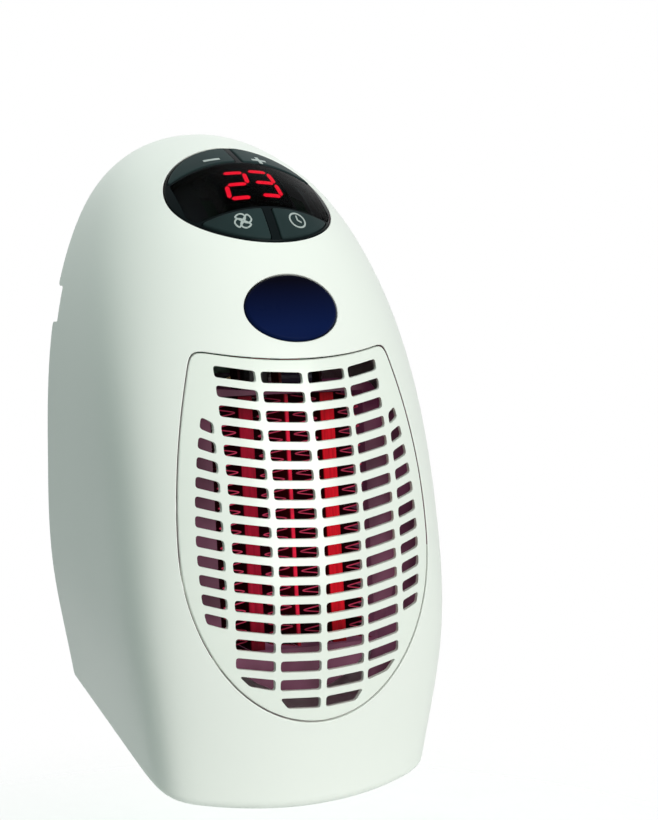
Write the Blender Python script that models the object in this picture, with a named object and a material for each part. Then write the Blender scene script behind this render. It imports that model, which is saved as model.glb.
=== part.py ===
"""Plug-in fan heater: an egg-shaped housing on a swivelling wall plug.

Metres, +Z up. The world origin is the centre of the plug's flat face, +Y points into the wall and
the grille looks along -Y. Inside the housing a place is given as (across, forward, height): forward
is measured from the housing's rear plane and height from the front of its foot.
"""
import math

import bmesh
import bpy
import numpy as np
from mathutils import Matrix

# Shared clearances and small common sizes
GAP = 0.0003
OVERRUN = 0.004
MERGE = 0.000001
STEP_BACK = 0.00001
NO_LENGTH = 0.000000000001
SHARP_ANGLE = math.radians(35)
TURN_LENGTH = 0.012
FINE_STEPS = 120

# Housing
BODY_HEIGHT = 0.177
HALF_WIDTH = 0.0468
BODY_DEPTH = 0.0806
FOOT_RISE = 0.0211
FOOT_ROUND = 0.003
WALL = 0.0022
KNOT_SHARES = (0.0, 0.15, 0.30, 0.45, 0.60, 0.75, 0.88, 1.0)
WIDTH_SHARES = (0.0, 0.369, 0.660, 0.851, 0.967, 1.0, 0.979, 0.844)
DEPTH_SHARES = (0.0, 0.209, 0.492, 0.697, 0.856, 0.966, 1.0, 0.954)
FOOT_DEPTH = BODY_DEPTH * DEPTH_SHARES[-1]
FOOT_POWER = 15.7
TOP_POWER = 1.7
BOW_SHARE = 0.141
BOW_GAIN_SHARE = 0.257
SHELL_LEVELS = 17
SHELL_STEPS = 30
NOTCH_PLACE_SHARE = 0.7322
NOTCH_HEIGHT = 0.010
NOTCH_DEPTH = 0.0034
NOTCH_PLACE = BODY_HEIGHT * NOTCH_PLACE_SHARE
NOTCH_ROUND = 0.0012

# Wall plug and its swivel
PLUG_OVER_FAN = 0.011
PLUG_REACH = 0.018
TURRET_RADIUS = 0.019
TURRET_WALL = 0.0025
TURRET_FACE = 0.0035
FLANGE_LIP = 0.003
FLANGE_RADIUS = TURRET_RADIUS + FLANGE_LIP
FLANGE_THICK = 0.002
GUIDE_WIDTH = 0.0054
GUIDE_DEPTH = 0.0025
CLIP_WIDTH = 0.006
CLIP_DEPTH = 0.0014
PIN_RADIUS = 0.0024
PIN_LENGTH = 0.019
PIN_SPACING = 0.019
PIN_COLLAR = 0.001
PIN_TIP_ROUND = 0.0016
CARRIER_LIP = 0.0005
CARRIER_RADIUS = TURRET_RADIUS + CARRIER_LIP
CARRIER_THICK = 0.0015
SPIGOT_LENGTH = 0.003
RING_THICK = 0.0006
RING_WIDTH = 0.0025
INNER_RING_RADIUS = 0.005
RING_SPACE = 0.0035
OUTER_RING_RADIUS = INNER_RING_RADIUS + RING_WIDTH + RING_SPACE
RETAINER_WALL = 0.0032
RETAINER_RADIUS = FLANGE_RADIUS + GAP + RETAINER_WALL
RETAINER_THICK = 0.002
RETAINER_EAR_RADIUS = 0.0038
RETAINER_EAR_ANGLES = (90.0, 215.0, 325.0)

# Screws and posts
SCREW_RADIUS = 0.0013
SCREW_HEAD_RADIUS = 0.0026
SCREW_HEAD = 0.0018
SCREW_BITE = 0.006
HOLE_RADIUS = SCREW_RADIUS + GAP
POST_RADIUS = 0.0026
CASE_POST_RADIUS = 0.0032
RETAINER_EAR_PLACE = RETAINER_RADIUS + SCREW_HEAD_RADIUS + GAP
SCREW_SIDES = 8
ROUND_SIDES = 14
WIDE_SIDES = 28

# Rear cover
COVER_RECESS = 0.0038
COVER_THICK = 0.0024
COVER_FIT = 0.0004
COVER_TOP_SHARE = 0.993
COVER_INSIDE = COVER_RECESS + COVER_THICK
CASE_SCREW_SHARES = ((0.7265, 0.1921), (0.5983, 0.8475))
BITE_SHARE = 0.6
VENT_HEIGHT = 0.0026
VENT_PITCH = 0.0058
VENT_WIDTH = 0.026
VENT_BAR = 0.004
VENT_ROWS = 9
VENT_COLUMNS = 2
VENT_START_SHARE = 0.226
VENT_START = BODY_HEIGHT * VENT_START_SHARE

# Front grille
GRILLE_SIDE_SPACE = 0.0105
GRILLE_HALF_WIDTH = HALF_WIDTH - GRILLE_SIDE_SPACE
GRILLE_LEAN = 0.0081
GRILLE_TOP_HALF_WIDTH = GRILLE_HALF_WIDTH - GRILLE_LEAN
GRILLE_WIDEST_SHARE = 0.39266
GRILLE_WIDEST = BODY_HEIGHT * GRILLE_WIDEST_SHARE
GRILLE_DROP = 0.0461
GRILLE_UNDER_LENS = 0.0104
LENS_HEIGHT_SHARE = 0.73785
LENS_HEIGHT = BODY_HEIGHT * LENS_HEIGHT_SHARE
GRILLE_TOP = LENS_HEIGHT - GRILLE_UNDER_LENS
GRILLE_FOOT = GRILLE_WIDEST - GRILLE_DROP
GRILLE_DIP = 0.0027
GRILLE_CORNER = 0.0022
GRILLE_THICK = 0.0022
GRILLE_ARC_STEPS = 22
GRILLE_CELL = (0.012, 0.0165)
SLOT_HEIGHT = 0.0029
SLOT_PITCH = 0.00492
SLOT_TOP_SPACE = 0.0077
SLOT_FOOT_SPACE = 0.0052
SLOT_FIRST = GRILLE_TOP - SLOT_TOP_SPACE
SLOT_ROWS = 1 + int((SLOT_FIRST - GRILLE_FOOT - SLOT_FOOT_SPACE) / SLOT_PITCH)
SLOT_BOW = 0.0023
SLOT_COLUMN_SHARES = ((0.022, 0.332), (0.3691, 0.6501), (0.6997, 0.8843))
SLOT_COLUMNS = tuple(
    (GRILLE_HALF_WIDTH * low, GRILLE_HALF_WIDTH * high) for low, high in SLOT_COLUMN_SHARES
)
SLOT_BOW_REACH = SLOT_COLUMNS[1][1]
SLOT_ROW_SKIPS = ((0, 0), (0, 1), (3, 4))
SLOT_MARGIN = 0.0027
SLOT_LEAST = 0.0018
SLOT_SIDE_TUCK = 0.004
SLOT_SIDE_RISE = 0.001
SLOT_SIDE_MIDDLE = GRILLE_WIDEST + SLOT_SIDE_RISE
SLOT_SIDE_REACH = 0.033

# Control panel, on a plane tilted towards the front and top
PANEL_TILT = math.radians(36)
PANEL_FORWARD_SHARE = 0.44045
PANEL_HEIGHT_SHARE = 0.90565
PANEL_FORWARD = BODY_DEPTH * PANEL_FORWARD_SHARE
PANEL_HEIGHT = BODY_HEIGHT * PANEL_HEIGHT_SHARE
PANEL_WIDTH_SHARE = 0.50855
PANEL_HALF_WIDTH = HALF_WIDTH * PANEL_WIDTH_SHARE
PANEL_HALF_LENGTH = 0.0216
PANEL_THICK = 0.0030
PANEL_SIDES = 48
PANEL_RIM = 0.0008
PANEL_CELL = (0.008, 0.008)
UPPER_ARC_SHARE = 0.4907
LOWER_ARC_SHARE = 0.4722
ARC_REACH_SHARE = 0.8
UPPER_ARC = PANEL_HALF_LENGTH * UPPER_ARC_SHARE
UPPER_ARC_DROP = 0.0033
LOWER_ARC = PANEL_HALF_LENGTH * LOWER_ARC_SHARE
LOWER_ARC_DROP = 0.0014
ARC_REACH = PANEL_HALF_WIDTH * ARC_REACH_SHARE
UPPER_GAP = 0.0018
LOWER_GAP = 0.0026
LINE_WIDTH = 0.0006
ARC_STEPS = 10
KEY_PROUD = 0.0003
KEY_THICK = 0.0024
KEY_TRAVEL = 0.00025
STEM_RADIUS = 0.0016
WINDOW_THICK = 0.001
WINDOW_SIDE_RIM = 0.0026
BOARD_THICK = 0.0016
CONTROL_BOARD_DEPTH = 0.0090
CONTROL_BOARD_HALF_LENGTH = 0.0172
CONTROL_BOARD_CHAMFER = 0.009
MAT_HALF_WIDTH = 0.0175
MAT_THICK = 0.0010
DOME_HEIGHT = 0.0035
DOME_RADIUS = 0.0028
DOME_TOP_RADIUS = 0.0017
DOME_SIDES = 12
LEG_THICK = 0.0015
LEG_TOP_SHARE = 0.75
LEG_HALF_LENGTH = 0.003
LEG_RIB = 0.0012
LEG_HOOK = 0.0008
CLIP_DROP = 0.0070
CLIP_REACH = 0.0012
UPPER_KEY_SHARES = (0.315, 0.639)
LOWER_KEY_SHARES = (0.357, 0.639)
UPPER_KEY_PLACE = (PANEL_HALF_WIDTH * UPPER_KEY_SHARES[0], PANEL_HALF_LENGTH * UPPER_KEY_SHARES[1])
LOWER_KEY_PLACE = (PANEL_HALF_WIDTH * LOWER_KEY_SHARES[0], PANEL_HALF_LENGTH * LOWER_KEY_SHARES[1])
DISPLAY_WIDTH = 0.0205
DISPLAY_LENGTH = 0.0150
DISPLAY_ACROSS = 0.0
DISPLAY_ALONG = 0.0007
DIGIT_WIDTH = 0.0063
DIGIT_HEIGHT = 0.0116
DIGIT_FOOT_SHARES = ((-0.405, -0.387), (0.054, -0.333))
DIGIT_LEAN_SHARES = (0.147, -0.009)
SEGMENT_WIDTH = 0.0012
SEGMENT_THICK = 0.0004
SEGMENT_UNDER_WINDOW = 0.0004
SEGMENT_DEPTH = WINDOW_THICK + SEGMENT_UNDER_WINDOW
SEGMENT_NICK = 0.0003

# Remote receiver
LENS_TILT = math.radians(65)
LENS_FORWARD_SHARE = 0.773
LENS_FORWARD = BODY_DEPTH * LENS_FORWARD_SHARE
LENS_HALF_WIDTH = 0.0132
LENS_HALF_LENGTH = 0.0093
LENS_THICK = 0.0020
LENS_PROUD = 0.0004
LENS_SIDES = 28
LENS_CELL = (0.007, 0.007)
RECEIVER_SETBACK = 0.0123
RECEIVER_BOARD_FORWARD = LENS_FORWARD - RECEIVER_SETBACK
RECEIVER_BOARD_HALF_HEIGHT = 0.007
RECEIVER_POST_RADIUS = 0.0024
RECEIVER_POST_PLACE = LENS_HALF_WIDTH + RECEIVER_POST_RADIUS + WALL / 2
RECEIVER_BOARD_HALF_WIDTH = RECEIVER_POST_PLACE + RECEIVER_POST_RADIUS + GAP
PIN_PROUD = 0.0006
RECEIVER_WIDTH = 0.007
RECEIVER_HEIGHT = 0.006
RECEIVER_DEPTH = 0.003
RECEIVER_NOSE_RADIUS = 0.0025

# Heater core and its frame
CORE_MIDDLE_SHARE = 0.41808
CORE_MIDDLE = BODY_HEIGHT * CORE_MIDDLE_SHARE
CORE_SIDE_SPACE = 0.0057
CORE_HALF_WIDTH = GRILLE_TOP_HALF_WIDTH - CORE_SIDE_SPACE
CORE_FRONT_SHARE = 0.773
CORE_FRONT = BODY_DEPTH * CORE_FRONT_SHARE
CORE_DEPTH = 0.0125
CORE_LEAN = math.radians(7)
FRAME_WALL = 0.0012
FRAME_PLATE = 0.0018
FRAME_INSET = 0.0052
FRAME_TOP = GRILLE_TOP - 2 * FRAME_INSET
CORE_UNDER_FRAME_TOP = 0.0023
CORE_HALF_HEIGHT = FRAME_TOP - CORE_MIDDLE - CORE_UNDER_FRAME_TOP
BAR_PLACE_SHARE = 0.5333
BAR_PLACE = CORE_HALF_WIDTH * BAR_PLACE_SHARE
BAR_WIDTH = 0.0038
PLATE_WIDTH = 0.0008
FIN_PITCH = 0.0055
FIN_THICK = 0.0003
CORE_SETBACK = 0.0005
TAB_LENGTH = 0.009
TAB_BREADTH = 0.0048
TAB_PLACE = 0.004
CUTOUT_RADIUS = 0.0040
CUTOUT_HEIGHT = 0.0045
CUTOUT_SHARE = 0.2667
CUTOUT_ACROSS = CORE_HALF_WIDTH * CUTOUT_SHARE
FUSE_RADIUS = 0.0018
FUSE_LENGTH = 0.0095

# Air duct
DUCT_WALL = 0.0014
DUCT_FLANGE = 0.003
EAR_RADIUS = 0.004
DUCT_POST_SHARE = 0.8
TONGUE_HALF_HEIGHT = 0.012
TONGUE_REACH = 0.005

# Fan
FAN_SIDE_ROOM = 0.0138
FAN_HALF = HALF_WIDTH - FAN_SIDE_ROOM
FAN_DEPTH = 0.018
FAN_REAR_SHARE = 0.24814
FAN_REAR = BODY_DEPTH * FAN_REAR_SHARE
FAN_RIM = 0.002
FAN_BORE = FAN_HALF - FAN_RIM
PLUG_HEIGHT = CORE_MIDDLE + FAN_HALF + PLUG_OVER_FAN
LUG_THICK = 0.004
FAN_BASE_RADIUS = 0.0108
FAN_BASE_THICK = 0.002
STRUT_WIDTH = 0.003
STRUT_COUNT = 4
MOTOR_RADIUS = 0.0105
MOTOR_LENGTH = 0.0088
BEARING_RADIUS = 0.0034
BEARING_LENGTH = 0.006
SHAFT_RADIUS = 0.0015
SHAFT_LENGTH = 0.0138
HUB_RADIUS = 0.0132
HUB_WALL = 0.0018
HUB_LENGTH = 0.0112
BLADE_COUNT = 7
BLADE_CLEARANCE = 0.0012
BLADE_THICK = 0.0011
BLADE_CHORD_ROOT = 0.0125
BLADE_CHORD_TIP = 0.0185
BLADE_PITCH_ROOT = math.radians(48)
BLADE_PITCH_TIP = math.radians(30)
BLADE_STEPS = 3

# Power board and what stands on it
POWER_BOARD_SHARE = 0.29777
POWER_BOARD_FORWARD = BODY_DEPTH * POWER_BOARD_SHARE
POWER_BOARD_SIDE_SPACE = 0.0148
POWER_BOARD_HALF_WIDTH = HALF_WIDTH - POWER_BOARD_SIDE_SPACE
BOARD_OVER_FAN = 0.0035
BOARD_UNDER_POST = 0.0016
POWER_BOARD_LOW = CORE_MIDDLE + FAN_HALF + BOARD_OVER_FAN
POWER_BOARD_HIGH = BODY_HEIGHT * CASE_SCREW_SHARES[1][1] - CASE_POST_RADIUS - BOARD_UNDER_POST
POWER_POST_INSET = 0.0036
POWER_POST_ACROSS = POWER_BOARD_HALF_WIDTH - POWER_POST_INSET
RELAY = (0.019, 0.0150, 0.0155)
RELAY_SHARES = (-0.469, 0.447)
FILM_CAPACITOR = (0.015, 0.0135, 0.008)
FILM_CAPACITOR_SHARES = (0.172, 0.202)
TRANSFORMER = (0.016, 0.013, 0.014)
TRANSFORMER_SHARES = (0.281, 0.692)
ELECTROLYTIC_RADIUS = 0.005
ELECTROLYTIC_LENGTH = 0.014
ELECTROLYTIC_SHARES = (0.609, 0.317)
WIPER_BLOCK_HALF_WIDTH = 0.005
WIPER_BLOCK_THICK = 0.005
WIPER_WIDTH = 0.003
WIPER_THICK = 0.0004
WIPER_FOOT = 0.002
WIPER_LEAN = 0.003

# Main switch, a rocker in the right side wall
ROCKER_HEIGHT_SHARE = 0.39548
ROCKER_HEIGHT = BODY_HEIGHT * ROCKER_HEIGHT_SHARE
ROCKER_FORWARD = 0.0138
ROCKER_OPENING_LENGTH = 0.019
ROCKER_OPENING_WIDTH = 0.0126
ROCKER_CLEARANCE = 0.0017
BEZEL_OVERLAP = 0.0012
BEZEL_THICK = 0.0014
KEY_LENGTH = 0.0152
KEY_WIDTH = 0.0092
KEY_DEPTH = 0.0052
KEY_ANGLE = math.radians(8)
KEY_PIVOT_DEPTH = 0.0022
KEY_SLACK = 0.0005
KEY_WELL_DEPTH = 0.0085
KEY_CREST = 0.0016


# Helpers: meshes

def mesh_from(points, faces):
    """Closed mesh with its faces turned outwards and doubled points merged."""
    mesh = bpy.data.meshes.new("shape")
    mesh.from_pydata(
        [tuple(map(float, point)) for point in points], [], [tuple(map(int, face)) for face in faces]
    )
    work = bmesh.new()
    work.from_mesh(mesh)
    bmesh.ops.remove_doubles(work, verts=work.verts, dist=MERGE)
    bmesh.ops.recalc_face_normals(work, faces=work.faces)
    work.to_mesh(mesh)
    work.free()
    return mesh


def block(low, high):
    """Box between two corners given as (across, forward, height)."""
    corners = [
        (x, -y, z) for x in (low[0], high[0]) for y in (low[1], high[1]) for z in (low[2], high[2])
    ]
    faces = [(0, 1, 3, 2), (4, 6, 7, 5), (0, 4, 5, 1), (2, 3, 7, 6), (0, 2, 6, 4), (1, 5, 7, 3)]
    return mesh_from(corners, faces)


def slab(top, bottom, faces):
    """Closed body between two sheets of points that share the same faces."""
    count = len(top)
    used = {(a, b) for face in faces for a, b in zip(face, face[1:] + face[:1])}
    rims = [(a, b) for a, b in sorted(used) if (b, a) not in used]
    sides = [(b, a, a + count, b + count) for a, b in rims]
    under = [tuple(index + count for index in reversed(face)) for face in faces]
    return mesh_from(list(top) + list(bottom), list(faces) + under + sides)


def plate(outline, start, end):
    """Outline in (across, height) carried along forward from start to end."""
    face = tuple(range(len(outline)))
    near = [(x, -start, z) for x, z in outline]
    far = [(x, -end, z) for x, z in outline]
    return slab(far, near, [face])


def upright(outline, low, high):
    """Outline in a datum's own (u, v) carried along its normal from low to high."""
    face = tuple(range(len(outline)))
    return slab([(u, v, high) for u, v in outline], [(u, v, low) for u, v in outline], [face])


def circle(radius, sides, centre=(0.0, 0.0), start=0.0):
    """Points of a circle, anticlockwise."""
    angles = start + 2 * math.pi * np.arange(sides) / sides
    return [(centre[0] + radius * math.cos(a), centre[1] + radius * math.sin(a)) for a in angles]


def ellipse(half_width, half_length, sides):
    """Points of an ellipse, anticlockwise."""
    return [(x * half_width, y * half_length) for x, y in circle(1, sides)]


def pillar(radius, across, height, start, end, sides=ROUND_SIDES):
    """Round bar along forward."""
    return plate(circle(radius, sides, (across, height)), start, end)


def turned(profile, sides=ROUND_SIDES, ring=False):
    """Profile of (radius, along) turned round the forward axis; a ring's profile is a closed loop."""
    angles = 2 * math.pi * np.arange(sides) / sides
    rows = len(profile)
    points = [(r * math.cos(a), -s, r * math.sin(a)) for r, s in profile for a in angles]
    spans = rows if ring else rows - 1
    faces = []
    for row in range(spans):
        for side in range(sides):
            after = (side + 1) % sides
            above = (row + 1) % rows
            faces.append(
                (row * sides + side, row * sides + after, above * sides + after, above * sides + side)
            )
    if not ring:
        faces.append(tuple(range(sides)))
        faces.append(tuple(range((rows - 1) * sides, rows * sides)))
    return mesh_from(points, faces)


def tube(outer, inner, start, end, sides=ROUND_SIDES):
    """Round ring along forward."""
    return turned([(outer, start), (outer, end), (inner, end), (inner, start)], sides, ring=True)


def shifted(mesh, across, forward, height):
    """The mesh moved by (across, forward, height)."""
    mesh.transform(Matrix.Translation((across, -forward, height)))
    return mesh


def gathered(meshes):
    """Bodies that don't touch, put in one mesh."""
    points, faces = [], []
    for mesh in meshes:
        start = len(points)
        points += [tuple(vertex.co) for vertex in mesh.vertices]
        faces += [tuple(start + index for index in face.vertices) for face in mesh.polygons]
    return mesh_from(points, faces)


def combined(base, tool, operation):
    """Boolean of two meshes, as a new mesh."""
    pair = [bpy.data.objects.new("work", mesh) for mesh in (base, tool)]
    for item in pair:
        bpy.context.scene.collection.objects.link(item)
    step = pair[0].modifiers.new("combine", "BOOLEAN")
    step.object = pair[1]
    step.operation = operation
    step.solver = "EXACT"
    graph = bpy.context.evaluated_depsgraph_get()
    result = bpy.data.meshes.new_from_object(pair[0].evaluated_get(graph))
    for item in pair:
        bpy.data.objects.remove(item)
    return result


def cut(base, *tools):
    """Base with every tool taken away."""
    for tool in tools:
        base = combined(base, tool, "DIFFERENCE")
    return base


def fused(base, *others):
    """Base and the others as one body."""
    for other in others:
        base = combined(base, other, "UNION")
    return base


# Helpers: objects and materials

def finish(name, colour, roughness, metallic=0.0, alpha=1.0):
    """Principled material of one piece."""
    material = bpy.data.materials.new(name)
    material.use_nodes = True
    shader = material.node_tree.nodes["Principled BSDF"]
    shader.inputs["Base Color"].default_value = (*colour, 1.0)
    shader.inputs["Roughness"].default_value = roughness
    shader.inputs["Metallic"].default_value = metallic
    shader.inputs["Alpha"].default_value = alpha
    material.diffuse_color = (*colour, alpha)
    return material


def datum(name, location, tilt=0.0, parent=None):
    """Empty that carries pieces."""
    empty = bpy.data.objects.new(name, None)
    empty.location = location
    empty.rotation_euler = (tilt, 0.0, 0.0)
    empty.parent = parent
    bpy.context.scene.collection.objects.link(empty)
    return empty


def piece(name, mesh, look, parent, location=(0.0, 0.0, 0.0), rotation=(0.0, 0.0, 0.0)):
    """Named object on its datum, with a material of its own."""
    mesh.name = name
    mesh.shade_smooth()
    mesh.set_sharp_from_angle(angle=SHARP_ANGLE)
    mesh.materials.clear()
    mesh.materials.append(finish(name, *look))
    mesh.polygons.foreach_set("material_index", np.zeros(len(mesh.polygons), dtype=np.int32))
    item = bpy.data.objects.new(name, mesh)
    item.parent = parent
    item.location = location
    item.rotation_euler = rotation
    bpy.context.scene.collection.objects.link(item)
    return item


IVORY = ((0.80, 0.82, 0.74), 0.22)
PALE_RESIN = ((0.72, 0.70, 0.64), 0.5)
BLACK_GLOSS = ((0.010, 0.011, 0.012), 0.08)
KEY_GREY = ((0.045, 0.05, 0.048), 0.55)
BLACK_RESIN = ((0.03, 0.03, 0.032), 0.5)
BOARD_GREEN = ((0.03, 0.16, 0.07), 0.45)
STEEL = ((0.62, 0.62, 0.63), 0.3, 1.0)
ALUMINIUM = ((0.78, 0.78, 0.80), 0.35, 1.0)
BRASS = ((0.78, 0.60, 0.28), 0.3, 1.0)
NICKEL = ((0.74, 0.73, 0.70), 0.2, 1.0)
HOT_RED = ((0.75, 0.03, 0.02), 0.5)
LENS_BLUE = ((0.006, 0.008, 0.05), 0.05)
COPPER = ((0.72, 0.35, 0.18), 0.35, 1.0)


# Helpers: the housing's skin

def through(shares, at):
    """Smooth curve through the shares at the knots, with slopes taken from their neighbours."""
    knots = np.array(KNOT_SHARES)
    values = np.array(shares)
    slopes = np.gradient(values, knots)
    at = np.clip(at, 0.0, 1.0)
    left = np.clip(np.searchsorted(knots, at, side="right") - 1, 0, len(knots) - 2)
    span = knots[left + 1] - knots[left]
    t = (at - knots[left]) / span
    rise = values[left + 1] - values[left]
    bend = slopes[left] * span - rise
    other = rise - slopes[left + 1] * span
    return values[left] + t * rise + t * (1 - t) * ((1 - t) * bend + t * other)


def half_width_at(level):
    """Half width of the housing at a share of its height."""
    return HALF_WIDTH * through(WIDTH_SHARES, np.sqrt(np.clip(1 - level, 0, 1)))


def depth_at(level):
    """Depth of the housing at a share of its height."""
    return BODY_DEPTH * through(DEPTH_SHARES, np.sqrt(np.clip(1 - level, 0, 1)))


def power_at(level):
    """How square the section is at a share of the height."""
    return TOP_POWER + (FOOT_POWER - TOP_POWER) * (1 - level)


def bow_at(level):
    """How far the front falls back towards its edges."""
    return BOW_SHARE + BOW_GAIN_SHARE * level ** 2


def height_of(level, forward):
    """Height of a skin point: the foot rises towards the wall, and the rise fades out upwards."""
    return level * BODY_HEIGHT + FOOT_RISE * (1 - forward / FOOT_DEPTH) * (1 - level)


def level_of(forward, height):
    """The share of the height whose section passes through this forward and height."""
    rise = FOOT_RISE * (1 - forward / FOOT_DEPTH)
    return (height - rise) / (BODY_HEIGHT - rise)


def skin_forward(across, forward, height):
    """How far forward the skin stands on the section through a point."""
    level = np.clip(level_of(forward, height), 0.0, 1.0)
    share = np.clip(np.abs(across) / np.maximum(half_width_at(level), MERGE), 0.0, 1.0)
    power = power_at(level)
    return depth_at(level) * (1 - bow_at(level) * share ** 2) * (1 - share ** power) ** (1 / power)


def section(level, steps):
    """Points (across, forward) of one section from the right rear edge to the left one.

    The section is a superellipse whose front falls back with the square of the distance from the
    middle. Points are shared out by length plus turning, so that the corners get more of them.
    """
    power = power_at(level)
    corner = 0.5 ** (1 / power)
    side = np.linspace(0, corner, FINE_STEPS)
    front = np.linspace(corner, -corner, 2 * FINE_STEPS)[1:-1]
    flank = (1 - side ** power) ** (1 / power)
    share = np.concatenate([flank, front, -flank[::-1]])
    depth = np.concatenate([side, (1 - np.abs(front) ** power) ** (1 / power), side[::-1]])
    across = half_width_at(level) * share
    forward = depth_at(level) * depth * (1 - bow_at(level) * share ** 2)
    dx, dy = np.diff(across), np.diff(forward)
    turn = np.abs(np.diff(np.unwrap(np.arctan2(dy, dx)), prepend=math.pi / 2))
    measure = np.concatenate([[0.0], np.cumsum(np.hypot(dx, dy) + TURN_LENGTH * turn)])
    wanted = np.linspace(0, measure[-1], steps + 1)
    return np.interp(wanted, measure, across), np.interp(wanted, measure, forward)


def skin_row(level, inset=0.0):
    """One row of skin points, drawn in by an inset at the foot's rounded edge."""
    across, forward = section(level, SHELL_STEPS)
    height = height_of(level, forward)
    across = across * (1 - inset / half_width_at(level))
    forward = forward * (1 - inset / depth_at(level))
    return np.stack([across, -forward, height], axis=1)


def pole_row(height):
    """The row at the very top, shrunk to a point on the rear plane."""
    return np.tile([0.0, 0.0, height], (SHELL_STEPS + 1, 1))


def loft(rows):
    """Closed body through rows of points, each closed on itself, with flat ends."""
    count, width = len(rows), len(rows[0])
    faces = []
    for row in range(count - 1):
        for column in range(width):
            after = (column + 1) % width
            low, high = row * width, (row + 1) * width
            faces.append((low + column, low + after, high + after, high + column))
    faces.append(tuple(range(width)))
    return mesh_from(np.concatenate(rows), faces)


def outer_body():
    """The housing as a full solid, its foot edge rounded."""
    angles = np.linspace(0, math.pi / 2, 4)
    lifts = FOOT_ROUND * (1 - np.cos(angles))
    insets = FOOT_ROUND * (1 - np.sin(angles))
    rows = [skin_row(lift / BODY_HEIGHT, inset) for lift, inset in zip(lifts, insets)]
    first = math.sqrt(1 - lifts[-1] / BODY_HEIGHT)
    marks = np.linspace(first, 0, SHELL_LEVELS + 1)[1:-1]
    rows += [skin_row(1 - mark ** 2) for mark in marks]
    rows.append(pole_row(BODY_HEIGHT))
    return loft(rows)


def normals_of(rows):
    """Outward normals of a grid of skin points."""
    along = np.gradient(rows, axis=0)
    around = np.gradient(rows, axis=1)
    normal = np.cross(along, around)
    length = np.linalg.norm(normal, axis=2, keepdims=True)
    normal = normal / np.maximum(length, NO_LENGTH)
    return normal


def inner_body(inset):
    """The housing's inside: the skin moved inwards by an inset and carried out past the rear plane."""
    first = math.sqrt(1 - inset / BODY_HEIGHT)
    marks = np.linspace(first, 0, SHELL_LEVELS + 1)[:-1]
    rows = np.array([skin_row(1 - mark ** 2) for mark in marks])
    normal = normals_of(rows)
    normal[0, :, 2] = 0.0
    normal[:, 0, 1] = 0.0
    normal[:, -1, 1] = 0.0
    rows = rows - inset * normal
    rows = np.concatenate([rows, [pole_row(BODY_HEIGHT - inset)]])
    ends = rows[:, [0, -1]] + np.array([0.0, OVERRUN, 0.0])
    rows = np.concatenate([ends[:, :1], rows, ends[:, 1:]], axis=1)
    return loft(list(rows))


def lift(tilt, origin, u, v):
    """Distance from a tilted plane to the skin along the plane's normal, found by halving."""
    u, v = np.asarray(u, dtype=float), np.asarray(v, dtype=float)
    low = np.full(u.shape, -BODY_DEPTH)
    high = np.full(u.shape, BODY_DEPTH + WALL)
    for _ in range(40):
        middle = (low + high) / 2
        forward = origin[0] - v * math.cos(tilt) + middle * math.sin(tilt)
        height = origin[1] + v * math.sin(tilt) + middle * math.cos(tilt)
        outside = forward > skin_forward(u, forward, height)
        high = np.where(outside, middle, high)
        low = np.where(outside, low, middle)
    return (low + high) / 2


def sheet(outline, cell):
    """Flat outline cut into cells, so that it can be bent: points and faces."""
    work = bmesh.new()
    work.faces.new([work.verts.new((u, v, 0.0)) for u, v in outline])
    for axis in (0, 1):
        values = [point[axis] for point in outline]
        pitch = cell[axis]
        lines = np.arange(math.ceil(min(values) / pitch), math.floor(max(values) / pitch) + 1) * pitch
        for line in lines:
            place = (line, 0, 0) if axis == 0 else (0, line, 0)
            normal = (1, 0, 0) if axis == 0 else (0, 1, 0)
            geometry = work.verts[:] + work.edges[:] + work.faces[:]
            bmesh.ops.bisect_plane(work, geom=geometry, dist=MERGE, plane_co=place, plane_no=normal)
    work.verts.index_update()
    points = np.array([vertex.co[:2] for vertex in work.verts])
    faces = [tuple(vertex.index for vertex in face.verts) for face in work.faces]
    work.free()
    return points, faces


def skin_patch(outline, tilt, origin, cell, proud, thick):
    """Piece of skin over an outline on a tilted plane, in that plane's own axes."""
    points, faces = sheet(outline, cell)
    height = lift(tilt, origin, points[:, 0], points[:, 1])
    top = np.column_stack([points, height + proud])
    bottom = np.column_stack([points, height - thick])
    return slab(top, bottom, faces)


# Outlines

def grille_half_width(height, inset=0.0):
    """Half width of the grille's outline at a height: an ellipse below, a widening curve above."""
    wide = GRILLE_HALF_WIDTH - inset
    deep = GRILLE_WIDEST - GRILLE_FOOT - inset
    if height <= GRILLE_WIDEST:
        return wide * math.sqrt(max(0.0, 1 - ((GRILLE_WIDEST - height) / deep) ** 2))
    share = (height - GRILLE_WIDEST) / (GRILLE_TOP - GRILLE_WIDEST)
    return wide - GRILLE_LEAN * share ** 2


def grille_outline(inset=0.0, top=GRILLE_TOP, dip=GRILLE_DIP, corner=GRILLE_CORNER):
    """Outline of the grille in (across, height): round foot, leaning sides and a dipped top edge."""
    deep = GRILLE_WIDEST - GRILLE_FOOT - inset
    angles = np.linspace(-math.pi / 2, 0, GRILLE_ARC_STEPS // 2 + 1)
    right = [
        ((GRILLE_HALF_WIDTH - inset) * math.cos(a), GRILLE_WIDEST + deep * math.sin(a)) for a in angles
    ]
    high = top - inset
    for height in np.linspace(GRILLE_WIDEST, high - corner, 6)[1:]:
        right.append((grille_half_width(height, inset), height))
    side = grille_half_width(high, inset)
    right.append((side - corner * (1 - math.sqrt(0.5)), high - corner * (1 - math.sqrt(0.5))))
    for share in (1.0, 0.5):
        across = (side - corner) * share
        right.append((across, high - dip * (1 - share ** 2)))
    left = [(-x, z) for x, z in reversed(right[1:])]
    return right + [(0.0, high - dip)] + left


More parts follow.
